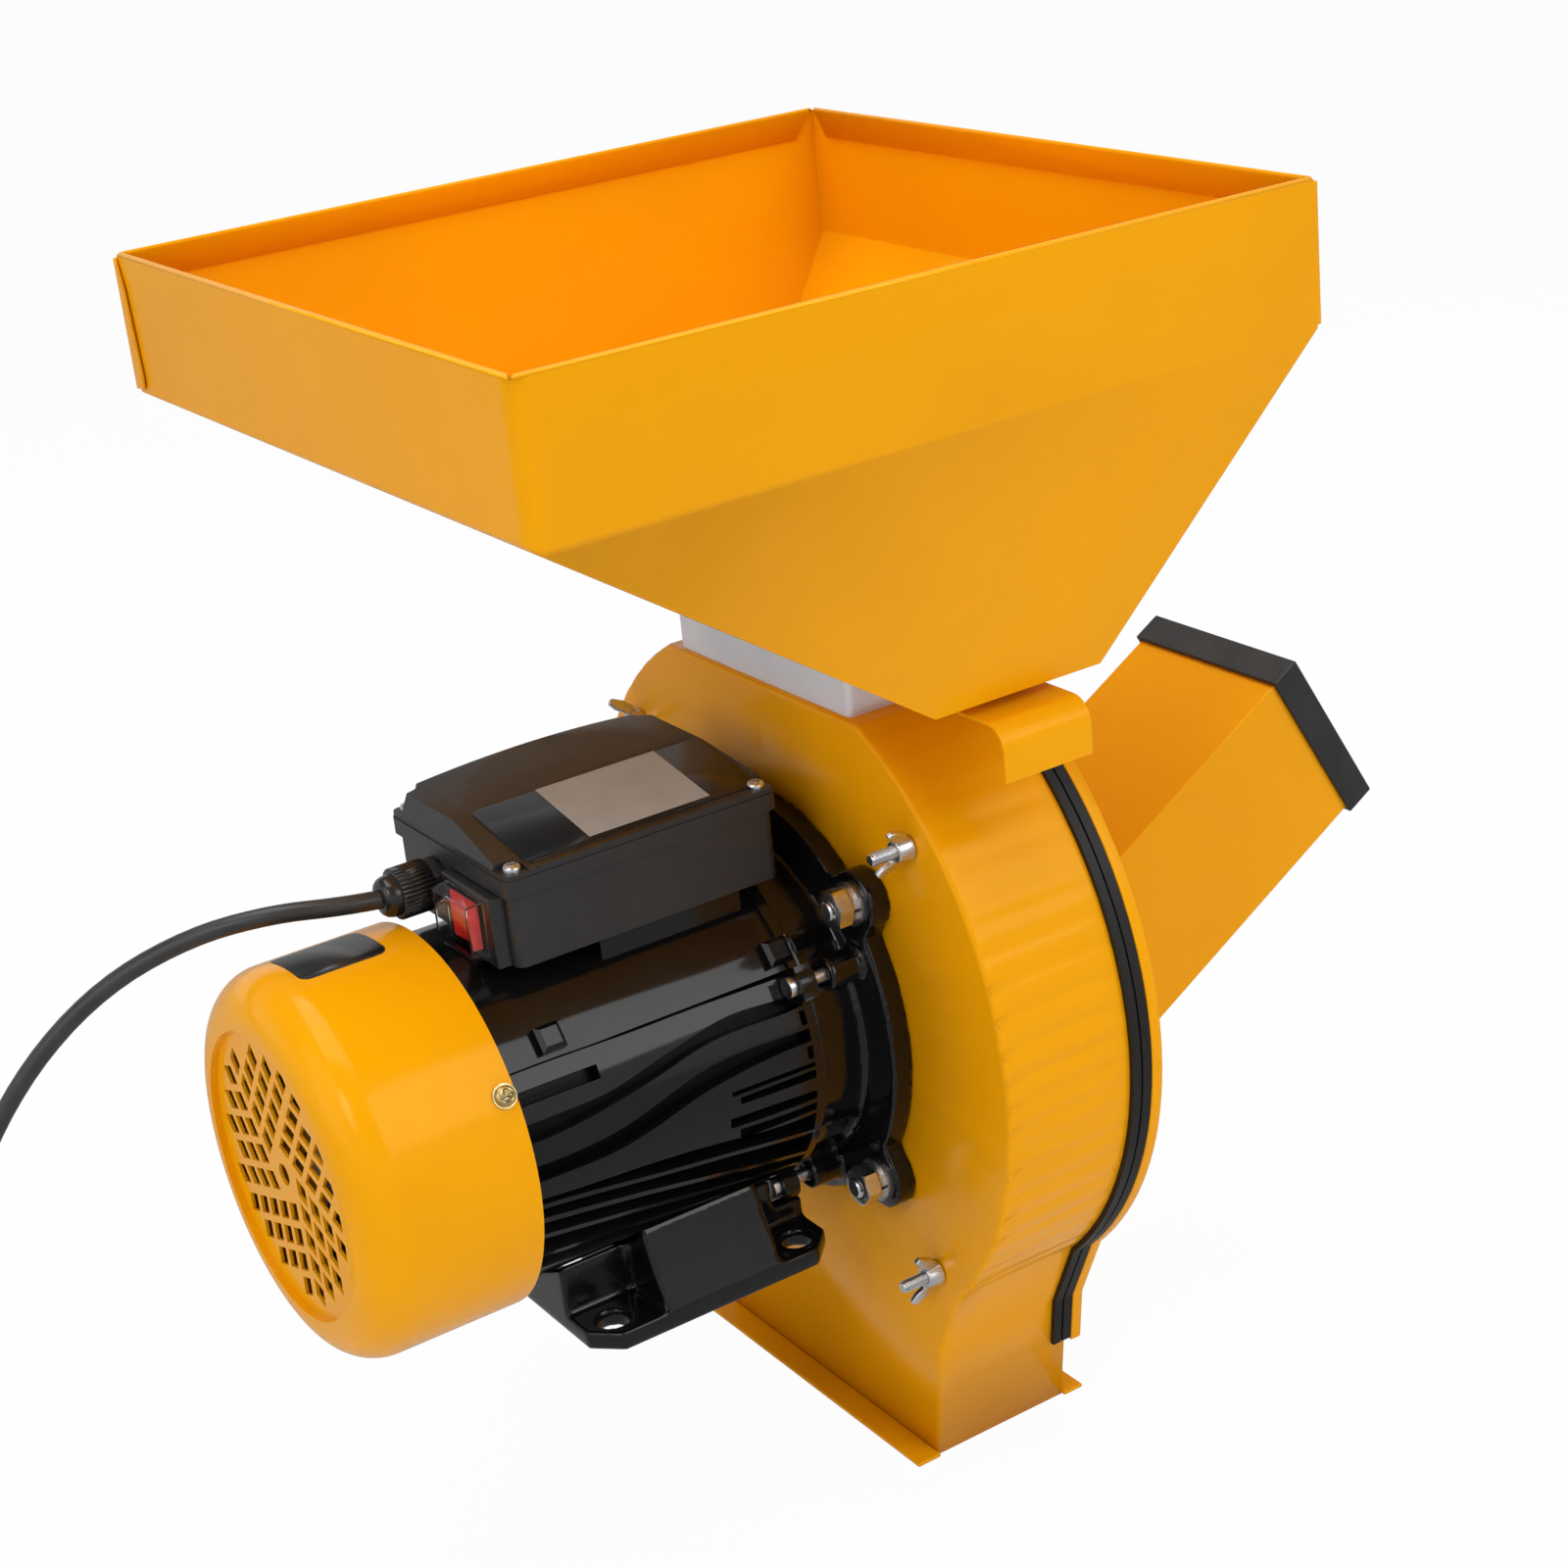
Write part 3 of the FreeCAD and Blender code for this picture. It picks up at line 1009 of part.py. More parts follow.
def make_flange_bolts():
    """Bolts from inside the housing out through the bracket's lugs."""
    head = BACK_Y + SHEET
    return Part.makeCompound([fuse([rod(x, SHAFT_Z + z, 70, head, FLANGE_BOLT_R),
                                    hexagon(x, SHAFT_Z + z, head, head + 6.4, 17.0)])
                              for x, z in four(*FLANGE_BOLTS)])


def make_flange_nuts():
    """Nuts behind the bracket's lugs, on their washers."""
    y1 = BACK_Y - BRACKET_THICK - 4.4
    return Part.makeCompound([hexagon(x, SHAFT_Z + z, y1 - 8, y1, 17.0, FLANGE_BOLT_R, 12.0)
                              for x, z in four(*FLANGE_BOLTS)])


def make_flange_washers():
    """A flat washer and a split spring washer under each nut."""
    face = BACK_Y - BRACKET_THICK
    flat = face - 2
    washers = []
    for x, z in four(*FLANGE_BOLTS):
        washers.append(pipe(x, SHAFT_Z + z, flat, face, 10.5, FLANGE_BOLT_R))
        spring = pipe(x, SHAFT_Z + z, flat - 2.4, flat, 8.8, FLANGE_BOLT_R)
        washers.append(spring.cut(box(x, x + 20, flat - 5, face, SHAFT_Z + z - 0.8, SHAFT_Z + z + 0.8)))
    return Part.makeCompound(washers)


def heading():
    """Direction of the lead where it reaches the coil."""
    ahead = V(*CORD_ROUTE[-1]) - V(*CORD_ROUTE[-2])
    ahead.normalize()
    return ahead


def straight(a, b):
    """A straight run of the lead's middle line."""
    return Part.LineSegment(a, b).toShape()


def arc_from(start, tangent, end):
    """The arc that leaves start along tangent and reaches end."""
    chord = end - start
    away = tangent - chord * (tangent.dot(chord) / chord.dot(chord))
    away.normalize()
    sagitta = chord.Length / 2 * math.tan(tangent.getAngle(chord) / 2)
    return Part.Arc(start, start + chord * 0.5 + away * sagitta, end).toShape()


def biarc(start, t0, end, t1):
    """Two arcs that join two places with given directions."""
    v = end - start
    t = t0 + t1
    k = 2 * (1 - t0.dot(t1))
    d = v.dot(v) / (2 * v.dot(t)) if k < 1e-9 else (-v.dot(t) + math.sqrt(v.dot(t) ** 2 + k * v.dot(v))) / k
    middle = (start + t0 * d + end - t1 * d) * 0.5
    back = arc_from(end, t1 * -1, middle)
    return [arc_from(start, t0, middle), Part.Arc(middle, back.valueAt(
        (back.FirstParameter + back.LastParameter) / 2), end).toShape()]


def tube(edges, start, direction):
    """A round lead along joined edges."""
    ring = Part.Wire([Part.Circle(start, direction, CORD_D / 2).toShape()])
    return Part.Wire(edges).makePipeShell([ring], True, False)


def make_cord():
    """The free lead: straight runs with the largest arcs that they allow."""
    points = [V(*p) for p in CORD_ROUTE]
    edges, radii, here = [], [], points[0]
    for before, corner, after in zip(points, points[1:], points[2:]):
        run_in, run_out = corner - before, after - corner
        turn = run_in.getAngle(run_out)
        reach = 0.45 * min(run_in.Length, run_out.Length)
        radii.append(reach / math.tan(turn / 2))
        run_in.normalize()
        run_out.normalize()
        begin, end = corner - run_in * reach, corner + run_out * reach
        edges += [straight(here, begin), arc_from(begin, run_in, end)]
        here = end
    edges.append(straight(here, points[-1]))
    first = points[1] - points[0]
    body = tube(edges, points[0], first)
    length = sum(e.Length for e in edges)
    print("free lead: length %.1f, volume over section times length %.4f, radii" %
          (length, body.Volume / (length * math.pi * CORD_D ** 2 / 4)), [round(r) for r in radii])
    return body


def make_coil():
    """Two layers of turns: in on the ground, one climb, out again on top, then up to the plug."""
    ahead = heading()
    up = V(0, 0, 1)
    start = V(*CORD_ROUTE[-1])
    here = start + ahead * CORD_D
    edges = [straight(start, here)]
    travel, towards = ahead, V(ahead.y, -ahead.x, 0)
    radii = [COIL_R - k * COIL_STEP / 2 for k in range(COIL_TURNS_IN)]
    climb = COIL_R - COIL_TURNS_IN * COIL_STEP / 2
    for r in radii + [climb] + radii[:0:-1]:
        end = here + towards * (2 * r)
        if r == climb:
            end = end + up * COIL_STEP
            edges += biarc(here, travel, end, travel * -1)
        else:
            edges.append(Part.Arc(here, here + towards * r + travel * r, end).toShape())
        here, travel, towards = end, travel * -1, towards * -1
    rise = BASE_Z + PLUG_R - here.z
    end = here + travel * PLUG_RUN + up * rise
    edges += biarc(here, travel, end, travel)
    edges.append(straight(end, end + travel * CORD_D))
    body = tube(edges, start, ahead)
    length = sum(e.Length for e in edges)
    print("coil: length %.1f, volume over section times length %.4f, least gap to itself %.2f" %
          (length, body.Volume / (length * math.pi * CORD_D ** 2 / 4), least_gap(edges)))
    return body, end + travel * CORD_D, travel


def least_gap(edges):
    """Smallest air between stretches of the coil that aren't neighbours along it."""
    places, along = [], 0.0
    for e in edges:
        steps = max(2, int(e.Length / 3))
        for k in range(steps):
            t = e.FirstParameter + (e.LastParameter - e.FirstParameter) * k / steps
            places.append((along + e.Length * k / steps, e.valueAt(t)))
        along += e.Length
    least = 1e9
    for i, (s, p) in enumerate(places):
        for q_s, q in places[i + 1:]:
            if q_s - s > 6 * CORD_D:
                least = min(least, (p - q).Length - CORD_D)
    return least


def make_plug(tail, ahead):
    """Moulded mains plug lying on the ground at the end of the lead."""
    up = V(0, 0, 1)
    side = ahead.cross(up)
    profile = [(0, 0), (0, 5.6), (15, 7.4), (19, 10.5), (24, 14.5), (31, 17.6), (35, PLUG_R),
               (PLUG_LONG - 2, PLUG_R), (PLUG_LONG, PLUG_R - 2), (PLUG_LONG, 0)]
    pts = [tail + ahead * a + up * r for a, r in profile]
    body = Part.Face(Part.makePolygon(pts + [pts[0]])).revolve(tail, ahead, 360)
    for s in (1, -1):
        contact = tail + ahead * (PLUG_LONG - 20) + up * (s * (PLUG_R + 0.6))
        body = body.cut(Part.makeCylinder(3.2, 22, contact, ahead))
        pin_seat = tail + ahead * (PLUG_LONG - 12) + side * (s * PIN_APART / 2)
        body = body.cut(Part.makeCylinder(PIN_R, 12, pin_seat, ahead))
    return body


def make_pins(tail, ahead):
    """The plug's two round pins, with rounded tips."""
    side = ahead.cross(V(0, 0, 1))
    pins = []
    for s in (1, -1):
        seat = tail + ahead * (PLUG_LONG - 12) + side * (s * PIN_APART / 2)
        pin = Part.makeCylinder(PIN_R, 31, seat, ahead)
        tip = [e for e in pin.Edges if abs((e.CenterOfMass - tail).dot(ahead) - PLUG_LONG - 19) < 0.01]
        pins.append(pin.makeFillet(1.4, tip))
    return Part.makeCompound(pins)


def make_cord_tail():
    """The lead's end inside the gland and the box."""
    return rod(GLAND[0], GLAND[1], GLAND_TIP_Y + 1.0, BOX_Y[0] + 20, CORD_D / 2)


# Housing and hopper
export("housing_shell", make_housing())
export("sieve_ring", make_sieve_ring())
export("sieve_screen", make_sieve())
export("housing_seal", make_seal())
export("neck_block", make_neck_block())
export("hopper", make_hopper())
export("neck_screws", make_neck_screws())
export("neck_nuts", make_neck_nuts())
export("feed_gate", make_gate())

# Front cover with its chute, studs and wing nuts
export("front_cover", make_cover())
export("feed_chute", make_chute())
export("chute_trim", make_trim())
export("cover_studs", make_studs())
for number, ((x, z), turn) in enumerate(zip(STUDS, WING_TURNS), 1):
    export("wing_nut_%d" % number, make_wing_nut(x, SHAFT_Z + z, turn))

# Motor
export("motor_frame", make_frame())
export("motor_foot", make_foot())
export("foot_screws", make_foot_screws())
export("flange_bracket", make_bracket())
export("bracket_screws", make_bracket_screws())
export("flange_bolts", make_flange_bolts())
export("flange_nuts", make_flange_nuts())
export("flange_washers", make_flange_washers())
export("rear_shield", make_rear_shield())
export("fan_cowl", make_cowl())
export("cowl_screws", make_cowl_screws())
export("stator_core", make_stator_core())
export("stator_windings", make_windings())
export("bearing_outers", make_bearing_outers())
export("bearing_balls", make_bearing_balls())

# Terminal box
export("terminal_box", make_terminal_box())
export("box_lid", make_lid())
export("lid_screws", make_lid_screws())
export("rating_plate", make_plate())
export("run_capacitor", make_capacitor())
export("terminal_block", make_terminal_block())
export("switch_body", make_switch())
export("switch_rocker", make_rocker())
export("switch_cover", make_switch_cover())
export("cable_gland", make_gland())
export("gland_nut", make_gland_nut())
export("gland_locknut", make_locknut())

# Rotor
export("motor_shaft", make_shaft())
export("rotor_core", make_rotor_core())
export("bearing_inners", make_bearing_inners())
export("cooling_fan", make_fan())
export("rotor_hub", make_hub())
export("beater_bars", make_beaters())
export("bar_spacers", make_spacers())
export("clamp_washer", make_clamp_washer())
export("shaft_nut", make_shaft_nut())

# Mains lead
export("cord_tail", make_cord_tail())
export("mains_cord", make_cord())
coil, coil_end, coil_way = make_coil()
export("cord_coil", coil)
export("cord_plug", make_plug(coil_end, coil_way))
export("plug_pins", make_pins(coil_end, coil_way))
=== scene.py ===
import math
import bpy
import bmesh
from mathutils import Matrix, Vector


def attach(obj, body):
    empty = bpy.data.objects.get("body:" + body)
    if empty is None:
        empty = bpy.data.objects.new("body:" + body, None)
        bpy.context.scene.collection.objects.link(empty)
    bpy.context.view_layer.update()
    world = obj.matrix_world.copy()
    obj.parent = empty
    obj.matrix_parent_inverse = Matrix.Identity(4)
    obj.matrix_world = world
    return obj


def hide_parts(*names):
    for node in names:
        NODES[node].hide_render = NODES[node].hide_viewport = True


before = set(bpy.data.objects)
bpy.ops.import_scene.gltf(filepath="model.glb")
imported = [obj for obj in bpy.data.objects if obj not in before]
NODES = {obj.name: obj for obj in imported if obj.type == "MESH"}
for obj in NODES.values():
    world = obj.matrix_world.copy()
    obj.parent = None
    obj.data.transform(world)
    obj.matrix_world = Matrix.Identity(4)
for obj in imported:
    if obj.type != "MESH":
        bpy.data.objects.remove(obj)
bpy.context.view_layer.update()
MM = 0.001

# Camera
# The photograph looks down on the motor side of the mill with a long lens, and the mill is tipped a little in
# it. The camera stands where that picture was taken from, and is rolled by as much as the mill leans.

CAMERA_PLACE = Vector((1.07281, -0.54993, 0.71305))
CAMERA_AIM = Vector((0.00210, 0.10695, 0.20456))
CAMERA_ROLL = math.radians(-6.07)
LENS, SENSOR = 66.44, 36.0

sight = (CAMERA_AIM - CAMERA_PLACE).normalized()
right = sight.cross(Vector((0, 0, 1))).normalized()
level_up = right.cross(sight)
across = right * math.cos(CAMERA_ROLL) + level_up * math.sin(CAMERA_ROLL)
upwards = level_up * math.cos(CAMERA_ROLL) - right * math.sin(CAMERA_ROLL)
camera_data = bpy.data.cameras.new("camera")
camera_data.lens = LENS
camera_data.sensor_width = SENSOR
camera_data.sensor_fit = "HORIZONTAL"
camera_data.clip_start = 0.01
camera = bpy.data.objects.new("camera", camera_data)
bpy.context.scene.collection.objects.link(camera)
turn = Matrix((across, upwards, -sight)).transposed().to_4x4()
camera.matrix_world = Matrix.Translation(CAMERA_PLACE) @ turn
bpy.context.scene.camera = camera
bpy.context.scene.view_settings.view_transform = "Standard"


# Studio
# A pale floor at the level of the housing's base flanges, and large soft lamps as in a product picture. The
# camera sees white behind the mill. Light from the sides is stronger than light from above, and paint that
# mirrors the floor sees it dimmed.

FLOOR_Z, FLOOR_GAP = -0.12, 0.0006
FLOOR_HALF = 30.0
FLOOR_WHITE, FLOOR_MIRRORED = 0.96, 0.45
WALL_LIGHT, CEILING_LIGHT = 1.0, 0.25
WALL_TOP, CEILING_EDGE = 0.10, 0.62
# Name, place, aim, size and watts
LAMPS = (("lamp_left", (0.15, -2.2, 1.35), (0, 0, 0.2), (1.5, 1.9), 11),
         ("lamp_window", (1.13, -1.69, 1.64), (0.05, -0.15, 0.15), (0.5, 0.7), 8),
         ("lamp_right", (1.95, 0.9, 1.62), (0, 0.1, 0.1), (1.6, 1.6), 23),
         ("lamp_top", (-0.2, 0.1, 2.4), (0, 0, 0.2), (2.2, 2.2), 50))


def set_inputs(node, values):
    """Sets a node's inputs by their names."""
    for socket, value in values.items():
        node.inputs[socket].default_value = value


def new_nodes(tree, *kinds):
    """Shader nodes of these kinds, in this order."""
    return [tree.nodes.new("ShaderNode" + kind) for kind in kinds]


def wire(tree, *pairs):
    """Links each pair, an output and the input it feeds."""
    for source, target in pairs:
        tree.links.new(source, target)


def soft_lamp(name, place, aim, size, power):
    """A rectangular lamp at a place, turned to what it lights."""
    lamp = bpy.data.lights.new(name, "AREA")
    lamp.shape = "RECTANGLE"
    lamp.size, lamp.size_y = size
    lamp.energy = power
    holder = bpy.data.objects.new(name, lamp)
    bpy.context.scene.collection.objects.link(holder)
    holder.location = place
    holder.rotation_euler = (Vector(aim) - Vector(place)).to_track_quat("-Z", "Y").to_euler()


for lamp_values in LAMPS:
    soft_lamp(*lamp_values)

world = bpy.data.worlds.new("studio")
world.use_nodes = True
bpy.context.scene.world = world
sky = world.node_tree
sky.nodes.clear()
world_out, plain_air, white_air, air_mix, ray_kind, heading, split, dimming = new_nodes(
    sky, "OutputWorld", "Background", "Background", "MixShader", "LightPath", "TexCoord", "SeparateXYZ",
    "MapRange")
dimming.interpolation_type = "SMOOTHSTEP"
set_inputs(dimming, {"From Min": WALL_TOP, "From Max": CEILING_EDGE,
                     "To Min": WALL_LIGHT, "To Max": CEILING_LIGHT})
set_inputs(white_air, {"Color": (1, 1, 1, 1), "Strength": 1.0})
wire(sky, (heading.outputs["Generated"], split.inputs[0]),
     (split.outputs["Z"], dimming.inputs["Value"]),
     (dimming.outputs["Result"], plain_air.inputs["Strength"]),
     (ray_kind.outputs["Is Camera Ray"], air_mix.inputs["Fac"]),
     (plain_air.outputs[0], air_mix.inputs[1]),
     (white_air.outputs[0], air_mix.inputs[2]),
     (air_mix.outputs[0], world_out.inputs["Surface"]))

floor_mesh = bmesh.new()
bmesh.ops.create_grid(floor_mesh, x_segments=1, y_segments=1, size=FLOOR_HALF)
bmesh.ops.translate(floor_mesh, verts=floor_mesh.verts, vec=(0, 0, FLOOR_Z - FLOOR_GAP))
floor_data = bpy.data.meshes.new("floor")
floor_mesh.to_mesh(floor_data)
floor_mesh.free()
floor = bpy.data.objects.new("floor", floor_data)
bpy.context.scene.collection.objects.link(floor)
floor_paint = bpy.data.materials.new("pale_floor")
floor_paint.use_nodes = True
paper = floor_paint.node_tree
floor_shader = paper.nodes["Principled BSDF"]
set_inputs(floor_shader, {"Base Color": (0.86, 0.86, 0.86, 1), "Roughness": 0.85, "Specular IOR Level": 0.1})
paper_white, seen, straight, sighted, share, white, floor_mix = new_nodes(
    paper, "Emission", "LightPath", "Math", "Math", "Math", "Math", "MixShader")
straight.operation = sighted.operation = "MAXIMUM"
share.operation = "MULTIPLY"
share.inputs[1].default_value = FLOOR_WHITE
white.operation = "MULTIPLY_ADD"
white.inputs[1].default_value = 1.0 - FLOOR_MIRRORED
white.inputs[2].default_value = FLOOR_MIRRORED
wire(paper, (seen.outputs["Is Camera Ray"], straight.inputs[0]),
     (seen.outputs["Is Transmission Ray"], straight.inputs[1]),
     (straight.outputs[0], sighted.inputs[0]),
     (seen.outputs["Is Glossy Ray"], sighted.inputs[1]),
     (straight.outputs[0], white.inputs[0]),
     (white.outputs[0], paper_white.inputs["Strength"]),
     (sighted.outputs[0], share.inputs[0]),
     (share.outputs[0], floor_mix.inputs["Fac"]),
     (floor_shader.outputs[0], floor_mix.inputs[1]),
     (paper_white.outputs[0], floor_mix.inputs[2]),
     (floor_mix.outputs[0], paper.nodes["Material Output"].inputs["Surface"]))
floor_data.materials.append(floor_paint)


# Mains lead
# A round rubber-sheathed lead that leaves the gland, arches over and falls to the ground behind the fan end.
# The length that isn't seen is wound into a neat coil of two layers and ends in its moulded plug.

CORD_D = 8.6 * MM
CORD_ROUTE = [(-19.0, -94.3, 205.6), (-20.0, -111.4, 207.6), (-31, -139.8, 210.1), (-50, -172, 203.8),
              (-72, -208.2, 184.2), (-91, -241.9, 149.9), (-106, -269.5, 104.8), (-117, -291, 53),
              (-127, -308, -2), (-138, -324, -55), (-155, -342, -97), (-179, -363.6, -115.7),
              (-202, -384.3, -115.7)]
COIL_R, COIL_STEP, COIL_HALVES_IN = 54.0 * MM, 9.2 * MM, 4
POINTS_PER_HALF = 8
PLUG_R, PLUG_RUN, PLUG_EASE = 18.5 * MM, 32.0 * MM, 0.3
PATCH_FROM, PATCH_TO = 0.35, 0.68


def surface_group():
    """Colour, roughness and height of a real surface: soft patches, fine grain and a broad, slight ripple."""
    made = bpy.data.node_groups.get("surface")
    if made:
        return made
    group = bpy.data.node_groups.new("surface", "ShaderNodeTree")
    for side, names in (("INPUT", ("Colour", "Shade", "Patch size", "Shine", "Dull", "Grain size", "Grain",
                                   "Ripple size", "Ripple")), ("OUTPUT", ("Colour", "Roughness", "Height"))):
        for name in names:
            kind = "NodeSocketColor" if name in ("Colour", "Shade") else "NodeSocketFloat"
            group.interface.new_socket(name=name, in_out=side, socket_type=kind)
    link = group.links.new
    given, out = group.nodes.new("NodeGroupInput"), group.nodes.new("NodeGroupOutput")
    place, patch, grain, ripple, spread, tint, rough, fine, broad, both = new_nodes(
        group, "TexCoord", "TexNoise", "TexNoise", "TexNoise", "MapRange", "Mix", "Mix", "Math", "Math",
        "Math")
    for noise, size, detail in ((patch, "Patch size", 4.0), (grain, "Grain size", 3.0),
                                (ripple, "Ripple size", 1.0)):
        link(place.outputs["Object"], noise.inputs["Vector"])
        link(given.outputs[size], noise.inputs["Scale"])
        noise.inputs["Detail"].default_value = detail
    set_inputs(spread, {"From Min": PATCH_FROM, "From Max": PATCH_TO})
    link(patch.outputs["Fac"], spread.inputs["Value"])
    tint.data_type = "RGBA"
    for mix, first, second, result in ((tint, "Colour", "Shade", "Colour"),
                                       (rough, "Shine", "Dull", "Roughness")):
        link(spread.outputs["Result"], mix.inputs["Factor"])
        link(given.outputs[first], mix.inputs["A"])
        link(given.outputs[second], mix.inputs["B"])
        link(mix.outputs["Result"], out.inputs[result])
    fine.operation = broad.operation = "MULTIPLY"
    for number, (noise, scaled, depth) in enumerate(((grain, fine, "Grain"), (ripple, broad, "Ripple"))):
        link(noise.outputs["Fac"], scaled.inputs[0])
        link(given.outputs[depth], scaled.inputs[1])
        link(scaled.outputs[0], both.inputs[number])
    link(both.outputs[0], out.inputs["Height"])
    return group


def shader_of(material):
    return material.node_tree.nodes["Principled BSDF"]


def finish(name, colour, shade, shine, dull, patch=12.0, grain=(900.0, 0.2), ripple=(30.0, 0.5), metal=0.0,
           specular=0.5, glint=(1.0, 1.0, 1.0)):
    """A material whose colour, gloss and relief come from the surface group with this finish's own values."""
    material = bpy.data.materials.new(name)
    material.use_nodes = True
    tree, shader = material.node_tree, shader_of(material)
    made, bump = new_nodes(tree, "Group", "Bump")
    made.node_tree = surface_group()
    set_inputs(made, {"Colour": (*colour, 1), "Shade": (*shade, 1), "Patch size": patch, "Shine": shine,
                      "Dull": dull, "Grain size": grain[0], "Grain": grain[1], "Ripple size": ripple[0],
                      "Ripple": ripple[1]})
    set_inputs(bump, {"Distance": MM})
    wire(tree, (made.outputs["Height"], bump.inputs["Height"]),
         (made.outputs["Colour"], shader.inputs["Base Color"]),
         (made.outputs["Roughness"], shader.inputs["Roughness"]),
         (bump.outputs["Normal"], shader.inputs["Normal"]))
    set_inputs(shader, {"Metallic": metal, "Specular IOR Level": specular, "Specular Tint": (*glint, 1)})
    return material


def dress(material, *nodes):
    """Gives pieces of the frame their finish."""
    for node in nodes:
        NODES[node].data.materials.clear()
        NODES[node].data.materials.append(material)


SHEATH = finish("cord_sheath", (0.022, 0.022, 0.023), (0.034, 0.034, 0.035), 0.34, 0.46, patch=40.0,
                grain=(1400.0, 0.05), ripple=(120.0, 0.12))

route = [Vector(p) * MM for p in CORD_ROUTE]
ahead = (route[-1] - route[-2]).normalized()
beside = Vector((ahead.y, -ahead.x, 0))
here = route[-1] + ahead * CORD_D
halves = [COIL_R - k * COIL_STEP / 2 for k in range(COIL_HALVES_IN)]
climb = COIL_R - COIL_HALVES_IN * COIL_STEP / 2
reach = 1 / math.cos(math.pi / POINTS_PER_HALF / 2)
line = route + [here - ahead * CORD_D / 2]
for radius in halves + [climb] + halves[:0:-1]:
    middle = here + beside * radius
    rise = COIL_STEP if radius == climb else 0.0
    for k in range(POINTS_PER_HALF):
        part = (k + 0.5) / POINTS_PER_HALF
        angle = math.pi * part
        lift = rise * (3 * part ** 2 - 2 * part ** 3)
        line.append(middle - beside * radius * reach * math.cos(angle)
                    + ahead * radius * reach * math.sin(angle) + Vector((0, 0, lift)))
    here = here + beside * radius * 2 + Vector((0, 0, rise))
    beside, ahead = -beside, -ahead
to_plug = here + ahead * PLUG_RUN
to_plug.z = FLOOR_Z + PLUG_R
line += [here + ahead * PLUG_RUN * PLUG_EASE, to_plug - ahead * PLUG_RUN * PLUG_EASE, to_plug,
         to_plug + ahead * CORD_D]
cord_curve = bpy.data.curves.new("mains_lead", "CURVE")
cord_curve.dimensions = "3D"
spline = cord_curve.splines.new("NURBS")
spline.points.add(len(line) - 1)
for point, place in zip(spline.points, line):
    point.co = (*place, 1)
spline.order_u = 3
spline.use_endpoint_u = True
cord_curve.bevel_depth = CORD_D / 2
cord_curve.bevel_resolution = 5
cord_curve.resolution_u = 5
cord_curve.use_fill_caps = True
cord = bpy.data.objects.new("mains_lead", cord_curve)
bpy.context.scene.collection.objects.link(cord)
cord_curve.materials.append(SHEATH)
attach(cord, "base")
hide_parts("mains_cord", "cord_coil")
dress(SHEATH, "cord_plug", "cord_tail")
dress(finish("nickel", (0.72, 0.71, 0.68), (0.62, 0.61, 0.58), 0.18, 0.28, grain=(1500.0, 0.03),
             ripple=(200.0, 0.05), metal=1.0), "plug_pins")


# Hopper
# One folded sheet of powder-coated steel: upright collar, sloped funnel and a flat bottom with the inlet. Its
# rim is hemmed inwards with mitred ends, and two corners are closed by tabs that lap onto the next side.

SHEET = 1.5 * MM
RIM_X, RIM_Y, RIM_Z = 184.5 * MM, (-100 * MM, 282 * MM), 474.8 * MM
COLLAR_Z = 410.6 * MM
OUTLET_X, OUTLET_Y, OUTLET_Z = 150 * MM, (93 * MM, 183 * MM), 280 * MM
INLET_X, INLET_Y, INLET_MID_Y = 35 * MM, 19 * MM, 137.25 * MM
SOFT_CORNER_R, TIGHT_CORNER_R, FOLD_R = 8 * MM, 1.8 * MM, 4.5 * MM
POST_LEAST, FOLD_LEAST = 20 * MM, 0.3
HEM_TALL, HEM_R, HEM_MITRE, HEM_BENDS = 14 * MM, 1.65 * MM, 11 * MM, 6
TAB_GAP, TAB_TUCK, TAB_BACK, TAB_EASE = 0.5 * MM, 0.2 * MM, 1.5 * MM, 0.35 * MM
TAB_FORM = ((0.4, 472.5), (2.4, 472.5), (7.0, 459), (8.4, 445), (10.8, 419), (10.0, 413.5), (0.4, 412.2))
NEAR = 0.1 * MM

YELLOW = finish("powder_coat", (0.86, 0.36, 0.0015), (0.81, 0.335, 0.0012), 0.20, 0.27, patch=9.0,
                grain=(520.0, 0.030), ripple=(16.0, 0.55), specular=0.24, glint=(1.0, 0.74, 0.34))


def put(name, shape, material, body, stands_for=(), thick=0.0, rounding=0.0, rings=2, limit=35,
        turn_out=True):
    """Makes a finished piece of the object from a mesh being built, riding on its body."""
    if turn_out:
        bmesh.ops.recalc_face_normals(shape, faces=shape.faces)
    for face in shape.faces:
        face.smooth = True
    data = bpy.data.meshes.new(name)
    shape.to_mesh(data)
    shape.free()
    piece = bpy.data.objects.new(name, data)
    bpy.context.scene.collection.objects.link(piece)
    data.materials.append(material)
    if thick:
        wall = piece.modifiers.new("sheet", "SOLIDIFY")
        wall.thickness = thick
        wall.offset = -1.0
        wall.use_even_offset = True
    if rounding:
        bevel = piece.modifiers.new("rounding", "BEVEL")
        bevel.width = rounding
        bevel.segments = rings
        bevel.limit_method = "ANGLE"
        bevel.angle_limit = math.radians(limit)
        piece.modifiers.new("even shading", "WEIGHTED_NORMAL").keep_sharp = True
    else:
        data.set_sharp_from_angle(angle=math.radians(limit))
    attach(piece, body)
    if stands_for:
        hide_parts(*stands_for)
    return piece


def extruded(shape, edges):
    """Extrudes edges and gives back the new corners and the new edges."""
    made = bmesh.ops.extrude_edge_only(shape, edges=edges)["geom"]
    verts = [g for g in made if isinstance(g, bmesh.types.BMVert)]
    return verts, [g for g in made if isinstance(g, bmesh.types.BMEdge) and all(v in verts for v in g.verts)]


